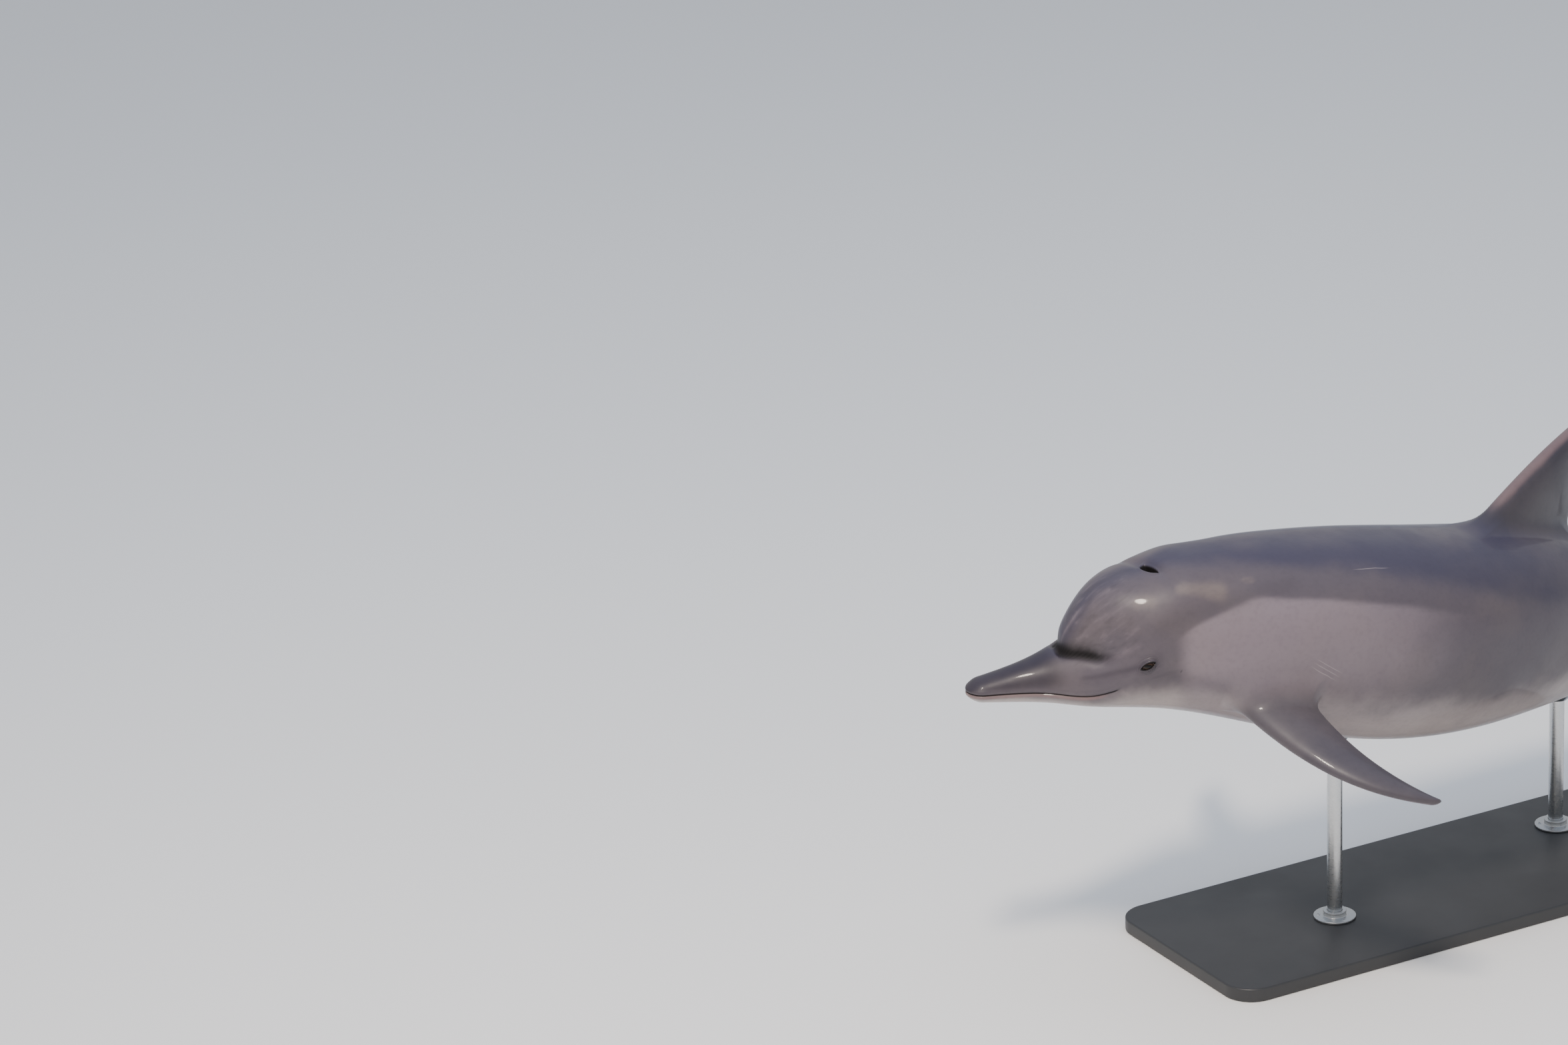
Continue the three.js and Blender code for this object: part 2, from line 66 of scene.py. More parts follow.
# ---- The animal's build, the same as the frame's ------------------------------------------------
BODY_LENGTH = 2.4
PIVOT = 0.3
PIVOT_PLACE = Vector((-0.3, -0.038, 0.665))
LEAN = math.radians(2.5)
POSE_STATIONS = [0, 0.1, 0.2, 0.32, 0.45, 0.62, 0.8, 1]
PITCH = [1.5, 1.5, -6, -14.5, -13.5, -17.5, -15, -9]
YAW = [-14.5, -14.5, -8.5, 0, 11, 17.5, 19, 17.5]

STATIONS = [0, 0.03, 0.065, 0.09, 0.12, 0.15, 0.2, 0.26, 0.33, 0.41, 0.5, 0.6, 0.7, 0.8, 0.88, 0.94, 1]
BACK = [
    -0.0225, -0.0165, -0.007, 0.003, 0.02, 0.047, 0.0675, 0.0735, 0.079, 0.081, 0.0785, 0.066, 0.05,
    0.037, 0.027, 0.015, -0.001,
]
BELLY = [
    -0.038, -0.042, -0.0465, -0.05, -0.055, -0.06, -0.07, -0.082, -0.09, -0.091, -0.084, -0.069,
    -0.05, -0.034, -0.023, -0.011, 0.003,
]
HALF_WIDTH = [
    0.012, 0.015, 0.024, 0.038, 0.05, 0.056, 0.066, 0.076, 0.081, 0.08, 0.072, 0.056, 0.038, 0.022,
    0.0145, 0.0122, 0.0085,
]
LEVEL = [
    -0.03, -0.031, -0.0325, -0.0325, -0.0225, -0.013, -0.007, -0.002, 0, 0.001, 0.002, 0.002, 0.002,
    0.002, 0.002, 0.002, 0.001,
]
FULLNESS_STATIONS = [0, 0.55, 0.7, 0.82, 0.9, 1]
FULLNESS = [2.15, 2.15, 2, 1.75, 1.75, 2]
MELON_STATIONS = [0.07, 0.076, 0.086, 0.099, 0.118, 0.14, 0.16, 0.23]
MELON_TOP = [-0.012, 0.0035, 0.0225, 0.038, 0.0505, 0.0555, 0.0615, 0.062]
MELON_HALF_WIDTH = [0.002, 0.012, 0.021, 0.0315, 0.043, 0.0535, 0.056, 0.056]
MELON_FULLNESS = 2.7
MELON_BLEND = 0.004
NOSE_ROUNDING = 0.012
TAIL_END = 0.981
TAIL_ROUNDING = 0.008
GAPE_CORNER = 0.112

EYE_STATION = 0.133
EYE_ANGLE = math.radians(77)
EYE_RADIUS = 15 * MM
EYE_DEPTH = 12 * MM
BROW_HEIGHT = 0.0016
BROW_REACH = 0.0115
BLOWHOLE_STATION = 0.149
BLOWHOLE_OFFSET = -13 * MM

# A fin: its front and rear edges as Bezier curves in its own plane, [along the body, out], and its half
# thickness at foot, middle and tip.
DORSAL = {
    "front": [[0.426, -0.03], [0.477, 0.024], [0.566, 0.096], [0.611, 0.107]],
    "rear": [[0.584, -0.03], [0.57, 0.036], [0.586, 0.079], [0.619, 0.101]],
    "half_thickness": [0.0125, 0.0085, 0.003],
    "foot": 0.0815,
}
FLIPPER = {
    "front": [[-0.012, -0.03], [0.012, 0.055], [0.045, 0.112], [0.1, 0.135]],
    "rear": [[0.055, -0.03], [0.058, 0.04], [0.072, 0.085], [0.108, 0.1325]],
    "half_thickness": [0.0105, 0.0068, 0.0026],
    "root": (0.208, 0.06, -0.042),
    "droop": math.radians(21),
    "twist": math.radians(8),
}
FLUKE = {
    "front": [[0.884, -0.004], [0.918, 0.026], [0.948, 0.094], [0.996, 0.1225]],
    "rear": [[0.966, -0.004], [0.999, 0.02], [0.985, 0.086], [1.005, 0.1235]],
    "half_thickness": [0.0115, 0.0065, 0.0024],
    "level": 0.0015,
}
TIP_REACH = 0.5
EDGE_HALF_THICKNESS = 0.0006
FIN_TAPER = 1.8
FIN_PEAK = 0.4
SIDES = {"left": -1, "right": 1}
FLESH_NODES = [
    "rostrum", "lower_jaw", "head", "chest", "trunk", "loin", "tail_stock", "dorsal_fin",
    "flipper_left", "flipper_right", "fluke_left", "fluke_right",
]

# ---- The mesh's fineness ------------------------------------------------------------------------
AROUND = 140  # skin points round the body
CAP_RINGS = 14  # rings over each rounded end
SPACING_STATIONS = [0.012, 0.03, 0.06, 0.07, 0.095, 0.165, 0.23, 0.6, 0.88, 0.94, 0.973]
SPACING = [0.0008, 0.0013, 0.0013, 0.00075, 0.00085, 0.0011, 0.0036, 0.0038, 0.0034, 0.0024, 0.0012]
MOUTH_CROWDING_STATIONS = [0, 0.12, 0.2, 0.9, 1]
MOUTH_CROWDING = [0.62, 0.55, 0.1, 0, 0]  # how far the points gather at the mouth line


# ---- Curves and shares --------------------------------------------------------------------------
def spline(keys, values):
    """A natural cubic spline as a function of arrays.

    Between two keys, with a and b the shares of the near and far key, it is
    a*v0 + b*v1 + ((a^3 - a)*c0 + (b^3 - b)*c1) * step^2 / 6, c being the second derivatives.
    """
    keys, values = np.array(keys, float), np.array(values, float)
    steps = np.diff(keys)
    inner = np.arange(1, len(keys) - 1)
    system = np.eye(len(keys))
    system[inner, inner - 1] = steps[:-1]
    system[inner, inner] = 2 * (steps[:-1] + steps[1:])
    system[inner, inner + 1] = steps[1:]
    change = np.zeros(len(keys))
    change[inner] = 6 * np.diff(np.diff(values) / steps)
    curvature = np.linalg.solve(system, change)

    def at(place):
        place = np.clip(place, keys[0], keys[-1])
        i = np.clip(np.searchsorted(keys, place, side="right") - 1, 0, len(keys) - 2)
        a = (keys[i + 1] - place) / steps[i]
        b = 1 - a
        bend = (a**3 - a) * curvature[i] + (b**3 - b) * curvature[i + 1]
        return a * values[i] + b * values[i + 1] + bend * steps[i] ** 2 / 6

    return at


def bezier(points, share):
    """A cubic Bezier curve: w^3*p0 + 3w^2*v*p1 + 3w*v^2*p2 + v^3*p3, with w = 1 - v."""
    v = np.asarray(share)[..., None]
    w = 1 - v
    p = np.array(points)
    return w**3 * p[0] + 3 * w * w * v * p[1] + 3 * w * v * v * p[2] + v**3 * p[3]


def smooth(low, high, value):
    """0 below low, 1 above high, and 3s^2 - 2s^3 between them."""
    s = np.clip((value - low) / (high - low), 0, 1)
    return s * s * (3 - 2 * s)


def hump(offset, reach):
    """A bell, exp(-(offset / reach)^2)."""
    return np.exp(-((offset / reach) ** 2))


back = spline(STATIONS, BACK)
belly = spline(STATIONS, BELLY)
half_width = spline(STATIONS, HALF_WIDTH)
level = spline(STATIONS, LEVEL)
fullness = spline(FULLNESS_STATIONS, FULLNESS)
melon_top = spline(MELON_STATIONS, MELON_TOP)
melon_half_width = spline(MELON_STATIONS, MELON_HALF_WIDTH)
pitch = spline(POSE_STATIONS, np.radians(PITCH))
yaw = spline(POSE_STATIONS, np.radians(YAW))

# ---- The spine's bend ---------------------------------------------------------------------------
SPINE = np.linspace(-0.05, 1.1, 2301)


def spine_axes(station):
    """The spine's direction, its sideways axis and its upward axis, from its pitch and yaw."""
    up, aside = pitch(station), yaw(station)
    along = np.stack([np.cos(up) * np.cos(aside), np.cos(up) * np.sin(aside), np.sin(up)], -1)
    across = np.stack([-np.sin(aside), np.cos(aside), np.zeros_like(aside)], -1)
    return along, across, np.cross(along, across)


SPINE_STEP = SPINE[1] - SPINE[0]
SPINE_STEPS = spine_axes(SPINE[:-1] + SPINE_STEP / 2)[0] * SPINE_STEP
SPINE_POINTS = np.concatenate([np.zeros((1, 3)), np.cumsum(SPINE_STEPS, 0)])


def spine_point(station):
    """The spine's centre: its direction summed up from its start."""
    return np.stack([np.interp(station, SPINE, SPINE_POINTS[:, axis]) for axis in range(3)], -1)


def posed(points):
    """Takes points of the straight body, in fractions, to the row frame in metres.

    Each point keeps its offset from the spine along the spine's own axes; the whole then leans
    about X and stands with the pivot station in its place.
    """
    _, across, over = spine_axes(points[..., 0])
    place = spine_point(points[..., 0]) - spine_point(np.array(PIVOT))
    place = (place + across * points[..., 1:2] + over * points[..., 2:3]) * BODY_LENGTH
    lean = np.array(Matrix.Rotation(LEAN, 3, "X"))
    return place @ lean.T + np.array(PIVOT_PLACE)


# ---- The body's surface -------------------------------------------------------------------------
def superellipse(angle, width, height, power):
    """The radius of |sin/width|^p + |cos/height|^p = 1 at an angle from straight up."""
    side = (np.abs(np.sin(angle)) / width) ** power
    return (side + (np.abs(np.cos(angle)) / height) ** power) ** (-1 / power)


def rounded(distance, reach):
    """A quarter of an ellipse: 0 at the end, 1 past the reach."""
    share = np.clip(distance / reach, 0, 1)
    return np.sqrt(1 - (1 - share) ** 2)


def trunk_and_melon(station, angle):
    """The radii of the trunk and of the melon about the level line; the melon is upper half only."""
    ends = rounded(station, NOSE_ROUNDING) * rounded(TAIL_END - station, TAIL_ROUNDING)
    middle = level(station)
    above = np.cos(angle) > 0
    width = np.maximum(half_width(station) * ends, 1e-5)
    height = np.where(above, back(station) - middle, middle - belly(station)) * ends
    trunk = superellipse(angle, width, np.maximum(height, 1e-5), fullness(station))
    top = np.maximum(melon_top(station) - middle, 1e-4)
    side = np.maximum(melon_half_width(station), 1e-4)
    melon = superellipse(angle, side, top, MELON_FULLNESS)
    inside = above & (station > MELON_STATIONS[0]) & (station < MELON_STATIONS[-1])
    return trunk, np.where(inside, melon, 0)


def signed(angle):
    """The same angle between -pi and pi."""
    return (angle + math.pi) % (2 * math.pi) - math.pi


def body_radius(station, angle):
    """The larger of trunk and melon, softly joined, with a low swelling round each eye."""
    trunk, melon = trunk_and_melon(station, angle)
    near = np.maximum(MELON_BLEND - np.abs(trunk - melon), 0)
    radius = np.maximum(trunk, melon) + near**2 / (4 * MELON_BLEND)
    aside = (np.abs(signed(angle)) - EYE_ANGLE) * radius
    away = ((station - EYE_STATION) ** 2 + aside**2) / BROW_REACH**2
    return radius + BROW_HEIGHT * np.exp(-away)


def bare_point(station, angle):
    """A point of the straight body, in metres: the radius at the angle about the level line."""
    station, angle = np.broadcast_arrays(station, angle)
    radius = body_radius(station, angle)
    point = [station, radius * np.sin(angle), level(station) + radius * np.cos(angle)]
    return np.stack(point, -1) * BODY_LENGTH


def surface_normal(station, angle):
    """The outward normal: the cross product of the surface's steps along the body and round it."""
    reach, turn = 2e-4, 2e-3
    ahead = np.clip(station - reach, 2e-6, TAIL_END - 2e-6)
    behind = np.clip(station + reach, 2e-6, TAIL_END - 2e-6)
    along = bare_point(behind, angle) - bare_point(ahead, angle)
    around = bare_point(station, angle + turn) - bare_point(station, angle - turn)
    normal = np.cross(along, around)
    return normal / np.maximum(np.linalg.norm(normal, axis=-1, keepdims=True), 1e-12)


MOUTH_DEPTH = 2.8 * MM
MOUTH_WIDTH = 1.9 * MM
LIP_SWELL = 0.9 * MM


def mouth_relief(station, height):
    """The mouth line: a narrow groove at the level, a low lip on each side, a dimple at the corner."""
    shut = 1 - smooth(GAPE_CORNER - 0.004, GAPE_CORNER + 0.001, station)
    groove = -MOUTH_DEPTH * hump(height, MOUTH_WIDTH)
    lips = LIP_SWELL * (hump(height - 6.5 * MM, 3.6 * MM) + hump(height + 7 * MM, 4.2 * MM))
    beyond = (station - GAPE_CORNER) * BODY_LENGTH
    dimple = -2.2 * MM * hump(beyond, 6 * MM) * hump(height + 1 * MM, 4 * MM)
    fold = -1.1 * MM * hump(height + 0.9 * beyond, 3 * MM) * smooth(0, 6 * MM, beyond)
    fold = fold * (1 - smooth(14 * MM, 34 * MM, beyond))
    return (groove + lips) * shut + dimple + fold


def muscle_relief(station, angle):
    """Low forms under the skin: neck folds inside the turn, the shoulder, the roll before the blowhole,
    the dip round it and the nape behind, and the belly's navel and slit."""
    turn = signed(angle)
    side = np.abs(turn)
    folds = sum(
        hump((station - at - 0.012 * np.cos(1.5 * (turn - 1.7))) * BODY_LENGTH, 7 * MM)
        for at in (0.165, 0.18, 0.196)
    )
    folds = -1.1 * MM * folds * hump(turn - 1.75, 0.5)
    shoulder = 3 * MM * hump(station - 0.205, 0.03) * hump(side - math.radians(96), math.radians(16))
    behind = (station - 0.141 + 0.024 * turn) * BODY_LENGTH
    dip = -6.5 * MM * hump(behind - 14 * MM, 13 * MM) * hump(turn, 0.36)
    nape = 2 * MM * hump((station - 0.172) * BODY_LENGTH, 30 * MM) * hump(turn, 0.6)
    under = (math.pi - side) * BODY_LENGTH * 0.07
    navel = -2.5 * MM * hump((station - 0.475) * BODY_LENGTH, 14 * MM) * hump(under, 7 * MM)
    slit = smooth(0.655, 0.665, station) * (1 - smooth(0.7, 0.71, station)) * hump(under, 6 * MM)
    return folds + shoulder + dip + nape + navel - 2.4 * MM * slit


def crease_distance(station, angle):
    """The distance, in metres, from the crease under the melon, where trunk and melon are equal: the
    difference of their radii over its slope, along and round the body."""

    def gap(station_at, angle_at):
        trunk, melon = trunk_and_melon(station_at, angle_at)
        return trunk - melon

    along, round_ = 6e-4, 0.012
    radius = np.maximum(trunk_and_melon(station, angle)[0], 0.01)
    slope_along = (gap(station + along, angle) - gap(station - along, angle)) / (2 * along)
    slope_round = (gap(station, angle + round_) - gap(station, angle - round_)) / (2 * round_ * radius)
    slope = np.maximum(np.hypot(slope_along, slope_round), 1)
    inside = (np.cos(angle) > 0) & (station > MELON_STATIONS[0] - 0.01) & (station < 0.14)
    return np.where(inside, np.abs(gap(station, angle)) / slope * BODY_LENGTH, 1.0)


def crease_nearness(station, angle, reach):
    """How near a point is to the crease, fading out where the melon runs into the cheek."""
    run = smooth(0.07, 0.0745, station) * (1 - smooth(0.092, 0.118, station))
    return hump(crease_distance(station, angle), reach) * run


def crease_relief(station, angle):
    """The crease where the melon overhangs the beak: a groove along that line."""
    return -6.5 * MM * crease_nearness(station, angle, 10 * MM)


def skin_point(station, angle):
    """A point of the skin, straight, in metres: the body moved along its normal by the relief."""
    point = bare_point(station, angle)
    height = point[..., 2] - level(station) * BODY_LENGTH
    relief = mouth_relief(station, height) + muscle_relief(station, angle)
    relief = relief + crease_relief(station, angle)
    return point + surface_normal(station, angle) * relief[..., None]


# ---- Fins ---------------------------------------------------------------------------------------
def fin_point(fin, place, turn, share, shrink=1.0, beyond=0.0):
    """A point of a fin, in fractions of the length.

    The section lies between the front and rear edges at a share of the span. A turn of 0 is the
    front edge and pi the rear one; its chord share is (1 - cos turn)/2 and its half thickness goes
    with sin(turn/2) * cos(turn/2)^taper. Shrink and beyond draw the rounded tip.
    """
    front, rear = bezier(fin["front"], share), bezier(fin["rear"], share)
    run = np.sum([np.subtract(fin[edge][3], fin[edge][2]) for edge in ("front", "rear")], axis=0)
    run = run / np.linalg.norm(run)
    chord_share = (0.5 - 0.5 * np.cos(turn) * shrink)[..., None]
    plane = front + (rear - front) * chord_share + np.asarray(beyond)[..., None] * run
    lens = np.sin(np.abs(turn) / 2) * np.abs(np.cos(turn / 2)) ** FIN_TAPER * np.sign(turn) / FIN_PEAK
    thickness = spline([0, 0.5, 1], fin["half_thickness"])(share)
    out = (thickness * lens + EDGE_HALF_THICKNESS * np.sin(turn)) * shrink
    return place(plane[..., 0], plane[..., 1], out)


def dorsal_place(along, out, aside):
    """The fin stands upright on the back."""
    return np.stack([along, aside, DORSAL["foot"] + out], -1)


def flipper_place(side):
    """A flipper's plane: turned nose down by the twist, then lowered by the droop, on one side."""
    station, aside, height = FLIPPER["root"]
    droop, twist = FLIPPER["droop"], FLIPPER["twist"]

    def place(along, out, over):
        behind = along * math.cos(twist) + over * math.sin(twist)
        lift = over * math.cos(twist) + along * math.sin(twist)
        outward = aside + out * math.cos(droop) + lift * math.sin(droop)
        high = height - out * math.sin(droop) + lift * math.cos(droop)
        return np.stack([station + behind, side * outward, high], -1)

    return place


def fluke_place(side):
    """A fluke lies level, out from the tail on one side."""
    return lambda along, out, over: np.stack([along, side * out, FLUKE["level"] + over], -1)


# ---- Weaving the skin ---------------------------------------------------------------------------
class Weave:
    """The skin's points, straight and in metres, with its quads, triangles and painted values."""

    def __init__(self):
        self.points, self.values, self.quads, self.triangles = [], [], [], []
        self.count = 0

    def add(self, points, fin=0.0, under=0.0, dark=0.0):
        """Adds points with their shares of fin, fin's underside and dark; gives back their numbers."""
        # dark: painted shade, near-black where openings and creases would lie in shadow
        flat = points.reshape(-1, 3)
        shape = points.shape[:-1]
        painted = [np.broadcast_to(value, shape).reshape(-1) for value in (fin, under, dark)]
        self.points.append(flat)
        self.values.append(np.stack(painted, -1))
        numbers = np.arange(self.count, self.count + len(flat)).reshape(shape)
        self.count += len(flat)
        return numbers

    def stitch(self, outer, inner):
        """A band of quads between two rings of equal count, the inner one on the left hand."""
        band = [outer, np.roll(outer, -1), np.roll(inner, -1), inner]
        self.quads.append(np.stack(band, -1).reshape(-1, 4))

    def rings(self, rim, rings, **painted):
        """Stitches rings, given as an array of ring by point, one after another to a rim."""
        numbers = self.add(rings, **painted)
        for ring in numbers:
            self.stitch(rim, ring)
            rim = ring
        return rim

    def close(self, rim, point, **painted):
        """A fan of triangles from a rim to one point."""
        middle = self.add(np.asarray(point)[None, :], **painted)[0]
        fan = [rim, np.roll(rim, -1), np.full_like(rim, middle)]
        self.triangles.append(np.stack(fan, -1))


def skin_stations():
    """Ring stations: even turns over the rounded ends, and the spacing curve summed up between."""
    turns = np.linspace(0, math.pi / 2, CAP_RINGS + 1)[1:]
    nose = NOSE_ROUNDING * (1 - np.cos(turns))
    tail = TAIL_END - TAIL_ROUNDING * (1 - np.cos(turns[::-1]))
    fine = np.linspace(nose[-1], tail[0], 4001)
    density = 1 / np.interp(fine, SPACING_STATIONS, SPACING)
    passed = np.concatenate([[0], np.cumsum((density[1:] + density[:-1]) / 2 * np.diff(fine))])
    wanted = np.linspace(0, passed[-1], round(passed[-1]) + 1)[1:-1]
    return np.concatenate([nose, np.interp(wanted, passed, fine), tail])


def skin_angle(station, column):
    """The angle of a column: v + crowding/2 * sin(2v), which gathers columns at the mouth line."""
    v = column * (2 * math.pi / AROUND)
    crowding = np.interp(station, MOUTH_CROWDING_STATIONS, MOUTH_CROWDING)
    return v + crowding / 2 * np.sin(2 * v)


class Hole:
    """A window in the body's grid, from row and column to row and column, and its rim."""

    def __init__(self, stations, first, last, low, high):
        self.rows = np.searchsorted(stations, [first, last])
        middle = (first + last) / 2
        columns = np.arange(-AROUND // 2, AROUND // 2 + 1)
        angles = skin_angle(np.full(len(columns), middle), columns)
        self.columns = np.round(np.interp([low, high], angles, columns)).astype(int)
        (i0, i1), (j0, j1) = self.rows, self.columns
        down, across = np.arange(i0, i1), np.arange(j0, j1)
        row = [down, np.full(len(across), i1), down[::-1] + 1, np.full(len(across), i0)]
        column = [np.full(len(down), j0), across, np.full(len(down), j1), across[::-1] + 1]
        self.row, self.column = np.concatenate(row), np.concatenate(column)
        self.station = stations[self.row]
        self.angle = skin_angle(self.station, self.column)
        self.forward = 1 - 2 * (self.row - i0) / (i1 - i0)
        self.sideways = 2 * (self.column - j0) / (j1 - j0) - 1

    def turn(self, up=1):
        """The direction of each rim point from the window's middle: 0 ahead and pi behind."""
        return np.arctan2(up * self.sideways, self.forward)


def body_grid(weave, stations, holes):
    """The body between its two ends, station by column, left open at each hole."""
    row, column = np.meshgrid(np.arange(len(stations)), np.arange(AROUND), indexing="ij")
    station = stations[row]
    angle = skin_angle(station, column)
    points = skin_point(station, angle)
    height = points[..., 2] - level(station) * BODY_LENGTH
    # Painted shade: the mouth line's groove and the crease under the melon are darkened where they would lie in
    # shadow.
    mouth = hump(height, 1.5 * MM) * (1 - smooth(GAPE_CORNER - 0.003, GAPE_CORNER + 0.001, station))
    hollow = 0.9 * crease_nearness(station, angle, 8 * MM)
    numbers = weave.add(points, dark=np.maximum(mouth, hollow))
    kept = np.ones((len(stations) - 1, AROUND), bool)
    for hole in holes:
        (i0, i1), (j0, j1) = hole.rows, hole.columns
        kept[i0:i1, np.arange(j0, j1) % AROUND] = False
    after = np.roll(numbers, -1, axis=1)
    quads = np.stack([numbers[:-1], numbers[1:], after[1:], after[:-1]], -1)
    weave.quads.append(quads[kept])
    for station_at, rim in ((0.0, numbers[0]), (TAIL_END, numbers[-1][::-1])):
        weave.close(rim, np.array([station_at, 0, level(station_at)]) * BODY_LENGTH)
    return numbers


def weave_fin(weave, numbers, hole, fin, place, up, spans, fillet):
    """Grows a fin out of a hole's rim.

    Each rim point runs over the body to where its line down the fin meets the body, and up the fin
    by the fillet; the two runs are blended by a smooth share, so that the root is a soft hollow.
    """
    turn = hole.turn(up)
    low, high = np.zeros(len(turn)), np.full(len(turn), 0.6)
    for _ in range(40):
        share = (low + high) / 2
        x, y, z = np.moveaxis(fin_point(fin, place, turn, share), -1, 0)
        above = z - level(x)
        inside = np.hypot(y, above) < body_radius(x, np.arctan2(y, above))
        low, high = np.where(inside, share, low), np.where(inside, high, share)
    foot = fin_point(fin, place, turn, high)
    foot_station = foot[:, 0]
    foot_angle = np.arctan2(foot[:, 1], foot[:, 2] - level(foot_station))
    foot_angle = hole.angle + signed(foot_angle - hole.angle)

    run = np.linspace(0, 1, 15)[1:, None]
    station = hole.station + (foot_station - hole.station) * run
    angle = hole.angle + (foot_angle - hole.angle) * run
    over_body = skin_point(station, angle)
    up_fin = fin_point(fin, place, turn, high + fillet * run) * BODY_LENGTH
    share = smooth(0.3, 1, run)
    blended = over_body + (up_fin - over_body) * share[..., None]
    rim = numbers[hole.row, hole.column % AROUND]
    under = smooth(0, 0.4, -np.sin(turn)) * (fin is not DORSAL)
    rim = weave.rings(rim, blended, fin=share, under=under * share)

    out = np.linspace(0, 1, spans + 1)[1:, None]
    blade = fin_point(fin, place, turn, (high + fillet) * (1 - out) + out)
    rim = weave.rings(rim, blade * BODY_LENGTH, fin=1.0, under=under)
    tip_turn = np.radians([18, 36, 52, 66, 78])[:, None]
    tip_chord = math.dist(fin["front"][3], fin["rear"][3])
    beyond = np.sin(tip_turn) * tip_chord * TIP_REACH
    tip = fin_point(fin, place, turn, np.ones((5, 1)), np.cos(tip_turn), beyond) * BODY_LENGTH
    rim = weave.rings(rim, tip, fin=1.0, under=under)
    weave.close(rim, tip[-1].mean(0), fin=1.0)


EYE_OPENING = (13 * MM, 6.6 * MM, 5.2 * MM)  # half length, upper and lower half height
EYE_TILT = math.radians(7)  # the front corner lies lower
LID_THICKNESS = 2.6 * MM
LID_SOFTNESS = 3 * MM


def eye_axes(side):
    """The straight place of an eye on the skin, and its rearward, upward and outward directions."""
    station, angle = np.array(EYE_STATION), np.array(side * EYE_ANGLE)
    outward = surface_normal(station, angle)
    rearward = np.array([1.0, 0, 0])
    rearward = rearward - outward * (rearward @ outward)
    rearward = rearward / np.linalg.norm(rearward)
    upward = np.cross(outward, rearward) * side
    upward = upward if upward[2] > 0 else -upward
    return bare_point(station, angle), rearward, upward, outward


def weave_eye(weave, numbers, hole, side):
    """Lids round an eyeball: from the hole's rim over two folds to an almond edge, then behind it.

    Near the edge the skin follows a sphere a lid's thickness over the eyeball; past it the rings run
    back round the eyeball to a closed socket.
    """
    centre, rearward, upward, outward = eye_axes(side)
    turn = np.arctan2(-side * hole.sideways, -hole.forward)
    length, upper, lower = EYE_OPENING
    edge_height = np.where(np.sin(turn) > 0, upper, lower)
    edge_height = edge_height * np.sign(np.sin(turn)) * np.abs(np.sin(turn)) ** 1.35
    edge = np.stack([length * np.cos(turn), edge_height], -1)
    spin = np.array([[math.cos(EYE_TILT), math.sin(EYE_TILT)], [-math.sin(EYE_TILT), math.cos(EYE_TILT)]])
    edge = edge @ spin
    rim_point = skin_point(hole.station, hole.angle) - centre
    rim_flat = np.stack([rim_point @ rearward, rim_point @ upward], -1)

    run = np.concatenate([np.linspace(0, 0.35, 6)[1:], np.linspace(0.35, 1, 26)[1:]])[:, None, None]
    flat = rim_flat + (edge - rim_flat) * run
    radius = body_radius(np.array(EYE_STATION), np.array(EYE_ANGLE)) * BODY_LENGTH
    share = smooth(0, 1, run[..., 0])
    rim_station = hole.station - EYE_STATION - rim_flat[:, 0] / BODY_LENGTH
    rim_angle = side * signed(hole.angle) - EYE_ANGLE + rim_flat[:, 1] / radius
    station = EYE_STATION + flat[..., 0] / BODY_LENGTH + rim_station * (1 - share)
    angle = EYE_ANGLE - flat[..., 1] / radius + rim_angle * (1 - share)
    skin = skin_point(station, side * angle)
    normal = surface_normal(station, side * angle)

    height = (skin - centre) @ outward
    ball = np.sqrt(np.maximum((EYE_RADIUS + LID_THICKNESS) ** 2 - (flat**2).sum(-1), 0)) - EYE_DEPTH
    joined = np.maximum(ball, height)
    joined = joined + np.maximum(LID_SOFTNESS - np.abs(ball - height), 0) ** 2 / (4 * LID_SOFTNESS)
    distance = np.linalg.norm(flat - edge, axis=-1)
    rise = joined + (ball - joined) * (1 - smooth(0, 5 * MM, distance)) - height
    above = smooth(-0.3, 0.5, np.sin(turn))
    wavy = distance * (1 + 0.07 * np.sin(3 * turn + 0.8) + 0.04 * np.sin(8 * turn))
    folds = -1.5 * MM * hump(wavy - 5 * MM, 1.3 * MM) * above
    folds = folds - 1.0 * MM * hump(wavy - 5.6 * MM, 1.6 * MM) * (1 - above)
    folds = folds - 0.8 * MM * hump(wavy - 9 * MM, 1.5 * MM) * (0.5 + 0.5 * above)
    folds = folds - 0.4 * MM * hump(wavy - 12.5 * MM, 1.5 * MM) * (0.3 + 0.7 * above)
    swell = 0.7 * MM * hump(distance - 2.3 * MM, 1.6 * MM) - 0.5 * MM * hump(distance, 1 * MM)
    lids = skin + normal * (rise + folds + swell)[..., None]
    # Painted shade at the lid's edge, where lid meets eyeball; the socket rings below are painted black as unlit.
    dark = hump(distance, 1.4 * MM) * 0.75
    rim = weave.rings(numbers[hole.row, hole.column % AROUND], lids, dark=dark)

    socket_centre = centre - outward * EYE_DEPTH
    spoke = lids[-1] - socket_centre
    depth = spoke @ outward
    aside = spoke - depth[:, None] * outward
    wide = np.linalg.norm(aside, axis=-1)
    tilt = np.arctan2(wide, depth)
    aside = aside / wide[:, None]
    margin = np.array([1.7, 1.1, 0.6] + [0.35] * 10) * MM
    back = np.concatenate([[-0.03, -0.045, -0.045], np.linspace(0, 0.93, 10)])[:, None]
    turned = tilt + np.where(back < 0, back, (math.pi - tilt) * back)
    shell = np.cos(turned)[..., None] * outward + np.sin(turned)[..., None] * aside
    socket = socket_centre + (EYE_RADIUS + margin)[:, None, None] * shell
    rim = weave.rings(rim, socket, dark=1.0)
    weave.close(rim, socket_centre - outward * (EYE_RADIUS + 0.3 * MM), dark=1.0)


